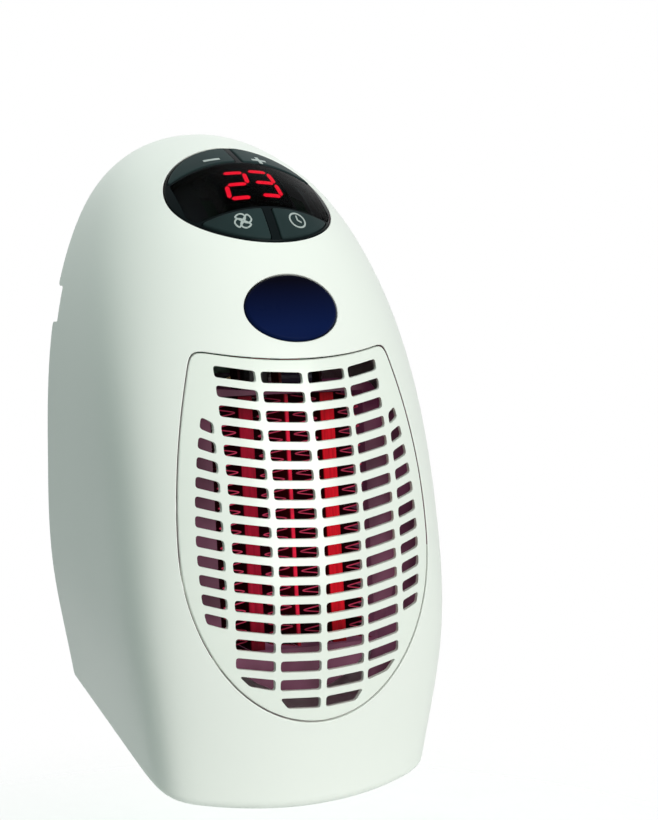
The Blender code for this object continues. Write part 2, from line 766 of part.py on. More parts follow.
def slot_outer_edge(height, high):
    """How far out a slot may reach at a height, inside the grille's margin."""
    swing = (height - SLOT_SIDE_MIDDLE) / SLOT_SIDE_REACH
    side = SLOT_COLUMNS[-1][1] - SLOT_SIDE_TUCK * swing ** 2
    return min(high, side, grille_half_width(height, SLOT_MARGIN))


def slot_outlines():
    """Outlines of all slots, right half and left half."""
    outlines = []
    for (low, high), (first, last) in zip(SLOT_COLUMNS, SLOT_ROW_SKIPS):
        for row in range(first, SLOT_ROWS - last):
            middle = SLOT_FIRST - row * SLOT_PITCH
            start = middle + SLOT_BOW * (low / SLOT_BOW_REACH) ** 2
            end = middle + SLOT_BOW * (high / SLOT_BOW_REACH) ** 2
            bottom = slot_outer_edge(end - SLOT_HEIGHT / 2, high)
            top = slot_outer_edge(end + SLOT_HEIGHT / 2, high)
            if min(bottom, top) - low < SLOT_LEAST:
                continue
            corners = [
                (low, start - SLOT_HEIGHT / 2),
                (bottom, end - SLOT_HEIGHT / 2),
                (top, end + SLOT_HEIGHT / 2),
                (low, start + SLOT_HEIGHT / 2),
            ]
            outlines.append(corners)
            outlines.append([(-x, z) for x, z in reversed(corners)])
    return outlines


def panel_rim(u, inset):
    """Distance of the panel's outline from its long axis."""
    wide = PANEL_HALF_WIDTH - inset
    return (PANEL_HALF_LENGTH - inset) * math.sqrt(max(0.0, 1 - (u / wide) ** 2))


def upper_arc(u):
    """Lower edge of the two upper keys."""
    return UPPER_ARC - UPPER_ARC_DROP * (u / ARC_REACH) ** 2


def lower_arc(u):
    """Upper edge of the two lower keys."""
    return -LOWER_ARC - LOWER_ARC_DROP * (u / ARC_REACH) ** 2


def key_edge(upper, inset, u):
    """Edge of a key towards the display, drawn in by an inset."""
    if upper:
        return upper_arc(u) + LINE_WIDTH / 2 + inset
    return lower_arc(u) - LINE_WIDTH / 2 - inset


def key_outline(upper, inset):
    """Right-hand key of the upper or lower pair, drawn in by an inset from its opening."""
    start = (UPPER_GAP if upper else LOWER_GAP) / 2 + inset
    sign = 1 if upper else -1
    marks = np.linspace(start, PANEL_HALF_WIDTH, FINE_STEPS)
    rims = [sign * panel_rim(u, PANEL_RIM + inset) for u in marks]
    edges = [key_edge(upper, inset, u) for u in marks]
    kept = [u for u, rim, edge in zip(marks, rims, edges) if sign * (rim - edge) > LINE_WIDTH]
    marks = np.linspace(start, kept[-1], ARC_STEPS)
    near = [(u, key_edge(upper, inset, u)) for u in marks]
    far = [(u, sign * panel_rim(u, PANEL_RIM + inset)) for u in marks[::-1]]
    return near + far if upper else (near + far)[::-1]


def window_outline(inset):
    """The display window between the two arcs."""
    end = PANEL_HALF_WIDTH - WINDOW_SIDE_RIM - inset
    marks = end * np.sin(np.linspace(-math.pi / 2, math.pi / 2, 2 * ARC_STEPS + 1))
    rims = [panel_rim(u, PANEL_RIM + inset) for u in marks]
    tops = [min(upper_arc(u) - LINE_WIDTH / 2 - inset, rim) for u, rim in zip(marks, rims)]
    feet = [max(lower_arc(u) + LINE_WIDTH / 2 + inset, -rim) for u, rim in zip(marks, rims)]
    upper = list(zip(marks, tops))
    return list(zip(marks, feet)) + upper[-2:0:-1]


def flipped(outline):
    """Outline mirrored from right to left."""
    return [(-u, v) for u, v in reversed(outline)]


# Outer casing

def case_screw_places():
    """The four case screws as (across, height)."""
    return [(side * HALF_WIDTH * x, BODY_HEIGHT * z) for x, z in CASE_SCREW_SHARES for side in (-1, 1)]


def duct_post_places():
    """The posts that carry the fan and the air duct: the lower pair and the upper pair."""
    across = FAN_HALF + EAR_RADIUS
    drop = FAN_HALF * DUCT_POST_SHARE
    return [[(side * across, CORE_MIDDLE + way * drop) for side in (-1, 1)] for way in (-1, 1)]


def receiver_post_places():
    """The two posts of the receiver board."""
    return [(side * RECEIVER_POST_PLACE, LENS_HEIGHT) for side in (-1, 1)]


DUCT_REAR = FAN_REAR + FAN_DEPTH + GAP
DUCT_FRONT = CORE_FRONT - CORE_DEPTH - GAP
DUCT_POST_END = DUCT_REAR + DUCT_FLANGE + GAP
PANEL_ORIGIN = (PANEL_FORWARD, PANEL_HEIGHT)
LENS_ORIGIN = (LENS_FORWARD, LENS_HEIGHT)


def post_body(radius, across, height, start, pin):
    """Post from its end at start to the front, with a locating pin rearwards where pin is set."""
    post = pillar(radius, across, height, start, BODY_DEPTH + OVERRUN)
    if pin:
        post = fused(
            post, pillar(SCREW_RADIUS, across, height, start - pin, start + radius, SCREW_SIDES)
        )
    return post


def posts():
    """All posts that grow from the inside of the front shell."""
    bars = [post_body(CASE_POST_RADIUS, x, z, COVER_INSIDE + GAP, 0.0) for x, z in case_screw_places()]
    pin = DUCT_POST_END - FAN_REAR - FAN_DEPTH + LUG_THICK + PIN_PROUD
    lower, upper = duct_post_places()
    bars += [post_body(POST_RADIUS, x, z, DUCT_POST_END, pin) for x, z in lower]
    bars += [post_body(POST_RADIUS, x, z, DUCT_POST_END, 0.0) for x, z in upper]
    start = RECEIVER_BOARD_FORWARD + BOARD_THICK + GAP
    pin = BOARD_THICK + GAP + PIN_PROUD
    bars += [post_body(RECEIVER_POST_RADIUS, x, z, start, pin) for x, z in receiver_post_places()]
    return gathered(bars)


def post_holes():
    """Screw holes in the posts' ends."""
    start = COVER_INSIDE + GAP
    depth = SCREW_BITE + GAP
    holes = [
        pillar(HOLE_RADIUS, x, z, start - GAP, start + depth, SCREW_SIDES)
        for x, z in case_screw_places()
    ]
    upper = duct_post_places()[1]
    holes += [
        pillar(HOLE_RADIUS, x, z, DUCT_REAR, DUCT_POST_END + depth, SCREW_SIDES) for x, z in upper
    ]
    return gathered(holes)


def notch_outline():
    """Cutter of the notches in (forward, height): the lips at the rim are rounded."""
    low = NOTCH_PLACE - NOTCH_HEIGHT / 2
    high = NOTCH_PLACE + NOTCH_HEIGHT / 2
    bend = NOTCH_ROUND * (1 - math.sqrt(0.5))
    upper = [
        (NOTCH_ROUND, high),
        (bend, high + bend),
        (0.0, high + NOTCH_ROUND),
        (-OVERRUN, high + NOTCH_ROUND),
    ]
    lower = [(f, low + high - h) for f, h in reversed(upper)]
    return [(NOTCH_DEPTH, high)] + upper + lower + [(NOTCH_DEPTH, low)]


def notches():
    """Bar across the rear rim that cuts both side notches."""
    outline = notch_outline()
    reach = HALF_WIDTH + OVERRUN
    face = tuple(range(len(outline)))
    right = [(reach, -f, h) for f, h in outline]
    left = [(-reach, -f, h) for f, h in outline]
    return slab(right, left, [face])


def turned_to(mesh, tilt, origin):
    """Mesh in a tilted plane's axes brought into the housing's axes."""
    place = Matrix.Translation((0.0, -origin[0], origin[1])) @ Matrix.Rotation(tilt, 4, "X")
    mesh.transform(place)
    return mesh


def rocker_opening():
    """Hole in the right side wall for the rocker switch."""
    half = ROCKER_OPENING_LENGTH / 2
    wide = ROCKER_OPENING_WIDTH / 2
    low = (FAN_HALF + ROCKER_CLEARANCE - GAP, ROCKER_FORWARD - wide, ROCKER_HEIGHT - half)
    high = (HALF_WIDTH + OVERRUN, ROCKER_FORWARD + wide, ROCKER_HEIGHT + half)
    return block(low, high)


def make_front_shell(parent):
    """The egg-shaped shell: skin, posts and every opening in it."""
    cavity = cut(inner_body(WALL), posts())
    shell = cut(outer_body(), cavity)
    reach = PANEL_THICK + WALL
    rim = ellipse(PANEL_HALF_WIDTH, PANEL_HALF_LENGTH, PANEL_SIDES)
    panel = turned_to(upright(rim, -reach - WALL, 3 * reach), PANEL_TILT, PANEL_ORIGIN)
    rim = ellipse(LENS_HALF_WIDTH + GAP, LENS_HALF_LENGTH + GAP, LENS_SIDES)
    lens = turned_to(upright(rim, -2 * WALL, reach), LENS_TILT, LENS_ORIGIN)
    grille = plate(grille_outline(), DUCT_POST_END + SCREW_BITE, BODY_DEPTH + OVERRUN)
    shell = cut(shell, panel, lens, grille, notches(), rocker_opening(), post_holes())
    piece("front_shell", shell, IVORY, parent)


def side_at(level, forward):
    """How far out the skin stands at a level and a forward, found by halving."""
    low, high = 0.0, 1.0
    for _ in range(40):
        share = (low + high) / 2
        power = power_at(level)
        reach = depth_at(level) * (1 - bow_at(level) * share ** 2) * (1 - share ** power) ** (1 / power)
        low, high = (share, high) if reach > forward else (low, share)
    return float(half_width_at(level)) * low


def cover_outline(inset):
    """The cover's outline: the skin at its inner face, drawn in along the outline's own normal."""
    points = []
    for mark in np.linspace(math.sqrt(1 - WALL / BODY_HEIGHT), 0, SHELL_LEVELS + 1)[:-1]:
        level = 1 - mark ** 2
        if depth_at(level) > COVER_INSIDE:
            points.append((side_at(level, COVER_INSIDE), float(height_of(level, COVER_RECESS))))
    points.append((0.0, BODY_HEIGHT * COVER_TOP_SHARE))
    right = np.array(points)
    slope = np.gradient(right, axis=0)
    outward = np.column_stack([slope[:, 1], -slope[:, 0]])
    outward = outward / np.linalg.norm(outward, axis=1, keepdims=True)
    outward[-1] = (0.0, 1.0)
    drawn = right - inset * outward
    drawn[0, 1] = right[0, 1] + GAP
    left = [(-x, z) for x, z in drawn[-2::-1]]
    return [tuple(point) for point in drawn] + left


def vent_cutters():
    """Rows of intake slots in the cover."""
    bars = []
    for row in range(VENT_ROWS):
        low = VENT_START + row * VENT_PITCH
        for column in range(VENT_COLUMNS):
            middle = (column - (VENT_COLUMNS - 1) / 2) * (VENT_WIDTH + VENT_BAR)
            start = (middle - VENT_WIDTH / 2, COVER_RECESS - OVERRUN, low)
            end = (middle + VENT_WIDTH / 2, COVER_INSIDE + OVERRUN, low + VENT_HEIGHT)
            bars.append(block(start, end))
    return gathered(bars)


def power_post_places():
    """The posts of the power board: the lower pair with pins and the upper pair with screws."""
    heights = (POWER_BOARD_LOW + POWER_POST_INSET, POWER_BOARD_HIGH - POWER_POST_INSET)
    return [[(side * POWER_POST_ACROSS, height) for side in (-1, 1)] for height in heights]


def retainer_screw_places():
    """The three screws of the plug's retaining ring."""
    places = []
    for angle in RETAINER_EAR_ANGLES:
        turn = math.radians(angle)
        places.append(
            (RETAINER_EAR_PLACE * math.cos(turn), PLUG_HEIGHT + RETAINER_EAR_PLACE * math.sin(turn))
        )
    return places


RETAINER_SCREW_BITE = COVER_THICK * BITE_SHARE


def make_rear_cover(parent):
    """Flat cover inside the shell's rim, with its vents, posts and the plug's opening."""
    cover = plate(cover_outline(WALL + COVER_FIT), COVER_RECESS, COVER_INSIDE)
    end = POWER_BOARD_FORWARD - GAP
    root = COVER_RECESS + COVER_THICK / 2
    lower, upper = power_post_places()
    pin = end + BOARD_THICK + GAP + PIN_PROUD
    cover = fused(cover, gathered([pillar(POST_RADIUS, x, z, root, end, 12) for x, z in lower + upper]))
    cover = fused(
        cover,
        gathered([pillar(SCREW_RADIUS, x, z, end - POST_RADIUS, pin, SCREW_SIDES) for x, z in lower]),
    )
    holes = [
        pillar(HOLE_RADIUS, x, z, end - SCREW_BITE - GAP, end + OVERRUN, SCREW_SIDES) for x, z in upper
    ]
    holes += [
        pillar(HOLE_RADIUS, x, z, -OVERRUN, COVER_INSIDE + OVERRUN, 12) for x, z in case_screw_places()
    ]
    start = COVER_INSIDE - RETAINER_SCREW_BITE - GAP
    holes += [
        pillar(HOLE_RADIUS, x, z, start, COVER_INSIDE + OVERRUN, SCREW_SIDES)
        for x, z in retainer_screw_places()
    ]
    holes.append(
        pillar(TURRET_RADIUS + GAP, 0.0, PLUG_HEIGHT, -OVERRUN, COVER_INSIDE + OVERRUN, WIDE_SIDES)
    )
    piece("rear_cover", cut(cover, vent_cutters(), gathered(holes)), IVORY, parent)


def make_front_grille(parent):
    """Curved insert with rows of slots."""
    tilt = math.pi / 2
    body = turned_to(
        skin_patch(grille_outline(GAP), tilt, (0.0, 0.0), GRILLE_CELL, 0.0, GRILLE_THICK),
        tilt,
        (0.0, 0.0),
    )
    slots = gathered(
        [plate(outline, BODY_DEPTH / 2, BODY_DEPTH + OVERRUN) for outline in slot_outlines()]
    )
    piece("front_grille", cut(body, slots), IVORY, parent)


# Control panel

def tilted_box(low, high):
    """Box between two corners given in a tilted plane's own (u, v, n)."""
    u, v = (low[0], high[0]), (low[1], high[1])
    outline = [(u[0], v[0]), (u[1], v[0]), (u[1], v[1]), (u[0], v[1])]
    return upright(outline, low[2], high[2])


def fascia_leg(side):
    """Snap leg of the fascia: a rib above the board, a hook below it and a clip under the shell."""
    outer = LEG_OUTER
    inner = outer - LEG_THICK
    top = -CONTROL_BOARD_DEPTH
    foot = top - BOARD_THICK - GAP - 2 * LEG_HOOK
    rim = float(lift(PANEL_TILT, PANEL_ORIGIN, outer, LEG_HALF_LENGTH))
    shapes = [
        ((inner, foot), (outer, rim - PANEL_THICK * LEG_TOP_SHARE)),
        ((inner - LEG_RIB, top + GAP), (inner + LEG_THICK / 2, top + GAP + LEG_RIB)),
        ((inner - LEG_HOOK, foot), (inner + LEG_THICK / 2, top - BOARD_THICK - GAP)),
        ((outer - LEG_THICK / 2, -CLIP_DROP - CLIP_REACH), (outer + CLIP_REACH, -CLIP_DROP)),
    ]
    boxes = []
    for index, (low, high) in enumerate(shapes):
        start, end = sorted((side * low[0], side * high[0]))
        half = LEG_HALF_LENGTH - index * STEP_BACK
        boxes.append(tilted_box((start, -half, low[1]), (end, half, high[1])))
    return fused(*boxes)


LEG_OUTER = PANEL_HALF_WIDTH - 2 * GAP
CONTROL_BOARD_HALF_WIDTH = LEG_OUTER - LEG_THICK - GAP


def make_fascia(parent):
    """Black panel body with openings for its keys and its display window, and two snap legs."""
    outline = ellipse(PANEL_HALF_WIDTH - GAP, PANEL_HALF_LENGTH - GAP, PANEL_SIDES)
    body = skin_patch(outline, PANEL_TILT, PANEL_ORIGIN, PANEL_CELL, 0.0, PANEL_THICK)
    reach = 3 * PANEL_THICK
    outlines = [key_outline(True, 0.0), key_outline(False, 0.0)]
    outlines += [flipped(outline) for outline in outlines]
    outlines.append(window_outline(0.0))
    for opening in outlines:
        body = cut(body, upright(opening, -reach, reach))
    piece("control_fascia", fused(body, fascia_leg(1), fascia_leg(-1)), BLACK_GLOSS, parent)


DOME_TOP = -CONTROL_BOARD_DEPTH + GAP + DOME_HEIGHT


def make_key(name, upper, side, parent):
    """One key: a cap that follows the panel, and a stem over its switch."""
    outline = key_outline(upper, GAP)
    place = UPPER_KEY_PLACE if upper else LOWER_KEY_PLACE
    across = side * place[0]
    along = place[1] if upper else -place[1]
    if side < 0:
        outline = flipped(outline)
    cap = skin_patch(outline, PANEL_TILT, PANEL_ORIGIN, PANEL_CELL, KEY_PROUD, KEY_THICK)
    middle = float(lift(PANEL_TILT, PANEL_ORIGIN, across, along))
    foot = DOME_TOP + GAP
    stem = upright(circle(STEM_RADIUS, 12, (across, along)), foot, middle - KEY_THICK / 2)
    key = fused(cap, stem)
    key.transform(Matrix.Translation((-across, -along, -middle)))
    piece(name, key, KEY_GREY, parent, (across, along, middle))


def make_window(parent):
    """Smoked window over the digits."""
    window = skin_patch(window_outline(GAP), PANEL_TILT, PANEL_ORIGIN, PANEL_CELL, 0.0, WINDOW_THICK)
    piece("display_window", window, BLACK_GLOSS, parent)


def dome_places():
    """The four domes under the keys."""
    places = [(UPPER_KEY_PLACE[0], UPPER_KEY_PLACE[1]), (LOWER_KEY_PLACE[0], -LOWER_KEY_PLACE[1])]
    return [(side * u, v) for u, v in places for side in (-1, 1)]


def chamfered(half_width, half_length, chamfer):
    """Rectangle with its corners cut off."""
    corners = []
    for x, y in ((1, -1), (1, 1), (-1, 1), (-1, -1)):
        near = (x * half_width, y * (half_length - chamfer))
        far = (x * (half_width - chamfer), y * half_length)
        corners += [near, far] if x * y > 0 else [far, near]
    return corners


def make_control_board(parent):
    """Board under the panel, and the rubber mat whose domes the keys press."""
    top = -CONTROL_BOARD_DEPTH
    outline = chamfered(CONTROL_BOARD_HALF_WIDTH, CONTROL_BOARD_HALF_LENGTH, CONTROL_BOARD_CHAMFER)
    piece("control_board", upright(outline, top - BOARD_THICK, top), BOARD_GREEN, parent)
    foot = top + GAP
    mat = upright(
        chamfered(MAT_HALF_WIDTH, CONTROL_BOARD_HALF_LENGTH, CONTROL_BOARD_CHAMFER / 2),
        foot,
        foot + MAT_THICK,
    )
    domes = []
    for u, v in dome_places():
        lower = [(x, y, foot + MAT_THICK / 2) for x, y in circle(DOME_RADIUS, DOME_SIDES, (u, v))]
        upper = [(x, y, DOME_TOP) for x, y in circle(DOME_TOP_RADIUS, DOME_SIDES, (u, v))]
        domes.append(loft_both([lower, upper]))
    half, tall = DISPLAY_WIDTH / 2 + GAP, DISPLAY_LENGTH / 2 + GAP
    low = (DISPLAY_ACROSS - half, DISPLAY_ALONG - tall, foot - MAT_THICK)
    high = (DISPLAY_ACROSS + half, DISPLAY_ALONG + tall, foot + 2 * MAT_THICK)
    piece("key_mat", fused(cut(mat, tilted_box(low, high)), gathered(domes)), BLACK_RESIN, parent)


def segment_bars():
    """Lit bars of the digits 2 and 3 as (start, end) in shares of a digit."""
    top, middle, bottom = ((0, 1), (1, 1)), ((0, 0.5), (1, 0.5)), ((0, 0), (1, 0))
    upper_right, lower_right = ((1, 0.5), (1, 1)), ((1, 0), (1, 0.5))
    lower_left = ((0, 0), (0, 0.5))
    two = (top, upper_right, middle, lower_left, bottom)
    three = (top, upper_right, middle, lower_right, bottom)
    return two, three


def segment_outline(start, end):
    """Pointed bar between two places."""
    start, end = np.array(start), np.array(end)
    along = (end - start) / np.linalg.norm(end - start)
    across = np.array([-along[1], along[0]]) * SEGMENT_WIDTH / 2
    first = start + along * SEGMENT_NICK
    last = end - along * SEGMENT_NICK
    taper = along * SEGMENT_WIDTH / 2
    near = [first, first + taper - across, last - taper - across]
    far = [last, last - taper + across, first + taper + across]
    return [tuple(point) for point in near + far]


def display_body():
    """Digit module: its foot is flat on the board and its face follows the window."""
    half, tall = DISPLAY_WIDTH / 2, DISPLAY_LENGTH / 2
    left, right = DISPLAY_ACROSS - half, DISPLAY_ACROSS + half
    low, high = DISPLAY_ALONG - tall, DISPLAY_ALONG + tall
    points, faces = sheet([(left, low), (right, low), (right, high), (left, high)], PANEL_CELL)
    level = lift(PANEL_TILT, PANEL_ORIGIN, points[:, 0], points[:, 1]) - SEGMENT_DEPTH - SEGMENT_THICK
    top = np.column_stack([points, level])
    foot = np.column_stack([points, np.full(len(points), GAP - CONTROL_BOARD_DEPTH)])
    return slab(top, foot, faces)


def digit_places(index, digit):
    """Start and end of each lit bar of a digit, which has a place and a lean of its own."""
    across, along = DIGIT_FOOT_SHARES[index]
    left = DISPLAY_ACROSS + across * DISPLAY_WIDTH
    foot = DISPLAY_ALONG + along * DISPLAY_LENGTH
    places = []
    for bar in digit:
        lean = [DIGIT_LEAN_SHARES[index] * DIGIT_HEIGHT * up for _, up in bar]
        ends = [
            (left + side * DIGIT_WIDTH + more, foot + up * DIGIT_HEIGHT)
            for (side, up), more in zip(bar, lean)
        ]
        places.append(ends)
    return places


def make_display(parent):
    """Digit module under the window, its lit bars standing out of its face."""
    bars = []
    for index, digit in enumerate(segment_bars()):
        for start, end in digit_places(index, digit):
            outline = segment_outline(start, end)
            root = SEGMENT_DEPTH + 2 * SEGMENT_THICK
            bars.append(skin_patch(outline, PANEL_TILT, PANEL_ORIGIN, PANEL_CELL, -SEGMENT_DEPTH, root))
    piece("display_module", fused(display_body(), gathered(bars)), BLACK_RESIN, parent)


# Remote receiver

def make_receiver(housing, lens_datum):
    """Lens in the shell, and the small board and receiver behind it."""
    outline = ellipse(LENS_HALF_WIDTH, LENS_HALF_LENGTH, LENS_SIDES)
    lens = skin_patch(outline, LENS_TILT, LENS_ORIGIN, LENS_CELL, LENS_PROUD, LENS_THICK)
    piece("receiver_lens", lens, LENS_BLUE, lens_datum)
    wide, tall = RECEIVER_BOARD_HALF_WIDTH, RECEIVER_BOARD_HALF_HEIGHT
    start = RECEIVER_BOARD_FORWARD
    board = block((-wide, start, LENS_HEIGHT - tall), (wide, start + BOARD_THICK, LENS_HEIGHT + tall))
    holes = [
        pillar(HOLE_RADIUS, x, z, start - OVERRUN, start + OVERRUN, SCREW_SIDES)
        for x, z in receiver_post_places()
    ]
    piece("receiver_board", cut(board, gathered(holes)), BOARD_GREEN, housing)
    foot = start + BOARD_THICK + GAP
    low = (-RECEIVER_WIDTH / 2, foot, LENS_HEIGHT - RECEIVER_HEIGHT / 2)
    body = block(low, (RECEIVER_WIDTH / 2, foot + RECEIVER_DEPTH, LENS_HEIGHT + RECEIVER_HEIGHT / 2))
    radius = RECEIVER_NOSE_RADIUS
    arc = [(radius * math.cos(a), radius * math.sin(a)) for a in np.linspace(0, math.pi / 2, 5)]
    nose = turned([(radius, -RECEIVER_DEPTH / 2)] + arc[:-1] + [(MERGE, radius)], 12)
    nose = shifted(nose, 0.0, foot + RECEIVER_DEPTH, LENS_HEIGHT)
    piece("ir_receiver", fused(body, nose), BLACK_RESIN, housing)


# Heater core

def lean_at(height):
    """How far the core stands back at a height: it leans with the grille."""
    return math.tan(CORE_LEAN) * (height - CORE_MIDDLE)


def leaned(mesh):
    """Mesh with every point moved back by the core's lean at its height."""
    for vertex in mesh.vertices:
        vertex.co.y += lean_at(vertex.co.z)
    return mesh


def make_heater_frame(parent):
    """Pale leaning frame: a front plate behind the grille and a sleeve round the core."""
    plate_rear = CORE_FRONT - FRAME_PLATE
    front = plate(
        grille_outline(FRAME_INSET, FRAME_TOP + FRAME_INSET, GRILLE_DIP / 2), plate_rear, CORE_FRONT
    )
    wide, tall = CORE_HALF_WIDTH + FRAME_WALL, CORE_HALF_HEIGHT + FRAME_WALL
    rear = CORE_FRONT - CORE_DEPTH
    sleeve = block(
        (-wide, rear, CORE_MIDDLE - tall), (wide, CORE_FRONT - FRAME_PLATE / 2, CORE_MIDDLE + tall)
    )
    body = fused(front, sleeve)
    wide, tall = CORE_HALF_WIDTH, CORE_HALF_HEIGHT
    window = block(
        (-wide, rear - OVERRUN, CORE_MIDDLE - tall), (wide, CORE_FRONT + OVERRUN, CORE_MIDDLE + tall)
    )
    frame = leaned(cut(body, window, terminal_slots()))
    piece("heater_frame", frame, PALE_RESIN, parent)


def terminal_box(across, grow, low):
    """Box of one terminal tab, grown all round for its slot."""
    rear = CORE_FRONT - CORE_DEPTH + TAB_PLACE
    half = PLATE_WIDTH / 2 + grow
    top = CORE_MIDDLE + CORE_HALF_HEIGHT + TAB_LENGTH
    return block((across - half, rear - grow, low), (across + half, rear + TAB_BREADTH + grow, top))


def terminal_slots():
    """Slots in the frame's top wall for the three terminal tabs."""
    low = CORE_MIDDLE + CORE_HALF_HEIGHT - FRAME_WALL
    return gathered([terminal_box(x, GAP, low) for x in (-BAR_PLACE, 0.0, BAR_PLACE)])


def make_core_bar(name, across, width, look, parent):
    """Upright bar of the core with its terminal tab."""
    tall = CORE_HALF_HEIGHT - GAP
    rear = CORE_FRONT - CORE_DEPTH + CORE_SETBACK
    front = CORE_FRONT - CORE_SETBACK
    bar = block(
        (across - width / 2, rear, CORE_MIDDLE - tall), (across + width / 2, front, CORE_MIDDLE + tall)
    )
    tab = terminal_box(across, 0.0, CORE_MIDDLE + tall - TAB_BREADTH / 2)
    piece(name, leaned(fused(bar, tab)), look, parent)


def make_fins(name, low, high, parent):
    """Zigzag strip of thin sheet between two uprights, its folds flat against them."""
    tall = CORE_HALF_HEIGHT - GAP
    count = int(round(2 * tall / (FIN_PITCH / 2)))
    rise = 2 * tall / count
    fold = FIN_THICK * math.hypot(high - low, rise) / rise
    right = [
        (low + GAP + fold if index % 2 else high - GAP, index * rise) for index in range(count + 1)
    ]
    left = [(x - fold, z) for x, z in right]
    outline = [(x, CORE_MIDDLE - tall + z) for x, z in right + left]
    faces = [(i, i + 1, count + 2 + i, count + 1 + i) for i in range(count)]
    rear = CORE_FRONT - CORE_DEPTH + CORE_SETBACK
    front = CORE_FRONT - CORE_SETBACK
    strip = slab([(x, -front, z) for x, z in outline], [(x, -rear, z) for x, z in outline], faces)
    piece(name, leaned(strip), ALUMINIUM, parent)


def make_core(parent):
    """Two heating bars, the middle electrode and four strips of fins."""
    make_core_bar("ptc_bar_left", -BAR_PLACE, BAR_WIDTH, HOT_RED, parent)
    make_core_bar("ptc_bar_right", BAR_PLACE, BAR_WIDTH, HOT_RED, parent)
    make_core_bar("center_electrode", 0.0, PLATE_WIDTH, COPPER, parent)
    inner = (PLATE_WIDTH / 2, BAR_PLACE - BAR_WIDTH / 2)
    outer = (BAR_PLACE + BAR_WIDTH / 2, CORE_HALF_WIDTH)
    make_fins("fins_inner_right", *inner, parent)
    make_fins("fins_outer_right", *outer, parent)
    make_fins("fins_inner_left", -inner[1], -inner[0], parent)
    make_fins("fins_outer_left", -outer[1], -outer[0], parent)


def make_safety_parts(parent):
    """Thermal cut-out and thermal fuse on top of the heater frame."""
    roof = CORE_MIDDLE + CORE_HALF_HEIGHT + FRAME_WALL + GAP
    middle = CORE_FRONT - CORE_DEPTH / 2 - FRAME_PLATE - lean_at(roof)
    cap = upright(circle(CUTOUT_RADIUS, ROUND_SIDES), 0.0, CUTOUT_HEIGHT)
    piece("thermal_cutout", cap, BLACK_RESIN, parent, (-CUTOUT_ACROSS, -middle, roof))
    half = FUSE_LENGTH / 2
    ends = [(-half, FUSE_RADIUS), (half, FUSE_RADIUS)]
    barrel = np.array([[(x, r * y, r * z) for y, z in circle(1, 12)] for x, r in ends])
    piece(
        "thermal_fuse",
        loft_both(list(barrel)),
        NICKEL,
        parent,
        (CUTOUT_ACROSS, -middle, roof + FUSE_RADIUS),
    )


def loft_both(rows):
    """Closed body through rows of points with a flat end at each side."""
    width = len(rows[0])
    faces = []
    for row in range(len(rows) - 1):
        for column in range(width):
            after = (column + 1) % width
            low, high = row * width, (row + 1) * width
            faces.append((low + column, low + after, high + after, high + column))
    last = (len(rows) - 1) * width
    faces.append(tuple(range(width)))
    faces.append(tuple(range(last, last + width)))
    return mesh_from(np.concatenate(rows), faces)


# Air duct

def rectangle(half_width, half_height, forward, lean_share):
    """Four corners of a rectangle round the core's middle, leaning by a share of the core's lean."""
    corners = []
    for a, b in ((-1, -1), (1, -1), (1, 1), (-1, 1)):
        height = CORE_MIDDLE + b * half_height
        corners.append((a * half_width, lean_share * lean_at(height) - forward, height))
    return corners


def funnel(inset, start, end):
    """Solid between the fan's square and the core's rectangle, its walls carried on past both ends."""
    rows = []
    for forward in (start, end):
        share = (forward - DUCT_REAR) / (DUCT_FRONT - DUCT_REAR)
        wide = FAN_HALF + share * (CORE_HALF_WIDTH + DUCT_WALL - FAN_HALF) - inset
        rows.append(rectangle(wide, CORE_HALF_HEIGHT + DUCT_WALL - inset, forward, share))
    return loft_both(rows)


def ear(across, height, start, end):
    """Rounded screw ear that reaches from a square's side out to a post."""
    inward = across - math.copysign(3 * EAR_RADIUS, across)
    low, high = sorted((inward, across))
    arm = block((low, start, height - EAR_RADIUS), (high, end, height + EAR_RADIUS))
    tip = pillar(EAR_RADIUS, across, height, start + STEP_BACK, end - STEP_BACK, ROUND_SIDES)
    return fused(arm, tip)


def ear_holes(start, end):
    """Holes through the four ears."""
    places = [place for pair in duct_post_places() for place in pair]
    return gathered(
        [pillar(HOLE_RADIUS, x, z, start - OVERRUN, end + OVERRUN, SCREW_SIDES) for x, z in places]
    )


def tongue(side):
    """Snap tongue beside the heater frame's sleeve."""
    inner = CORE_HALF_WIDTH + FRAME_WALL + GAP
    low, high = sorted((side * inner, side * (inner + 2 * DUCT_WALL)))
    start = (low, DUCT_FRONT - 2 * DUCT_WALL, CORE_MIDDLE - TONGUE_HALF_HEIGHT)
    return block(start, (high, DUCT_FRONT + TONGUE_REACH, CORE_MIDDLE + TONGUE_HALF_HEIGHT))


def make_air_duct(parent):
    """Funnel from the fan to the core, with its flange, ears and tongues."""
    flange_end = DUCT_REAR + DUCT_FLANGE
    wide, tall = FAN_HALF, CORE_HALF_HEIGHT + DUCT_WALL
    flange = block((-wide, DUCT_REAR, CORE_MIDDLE - tall), (wide, flange_end, CORE_MIDDLE + tall))
    body = fused(funnel(0.0, DUCT_REAR + DUCT_FLANGE / 2, DUCT_FRONT), flange, tongue(-1), tongue(1))
    for pair in duct_post_places():
        for x, z in pair:
            body = fused(body, ear(x, z, DUCT_REAR + 2 * STEP_BACK, flange_end - 2 * STEP_BACK))
    bore = funnel(DUCT_WALL, DUCT_REAR - OVERRUN, DUCT_FRONT + OVERRUN)
    piece("air_duct", cut(body, bore, ear_holes(DUCT_REAR, flange_end)), PALE_RESIN, parent)


# Fan

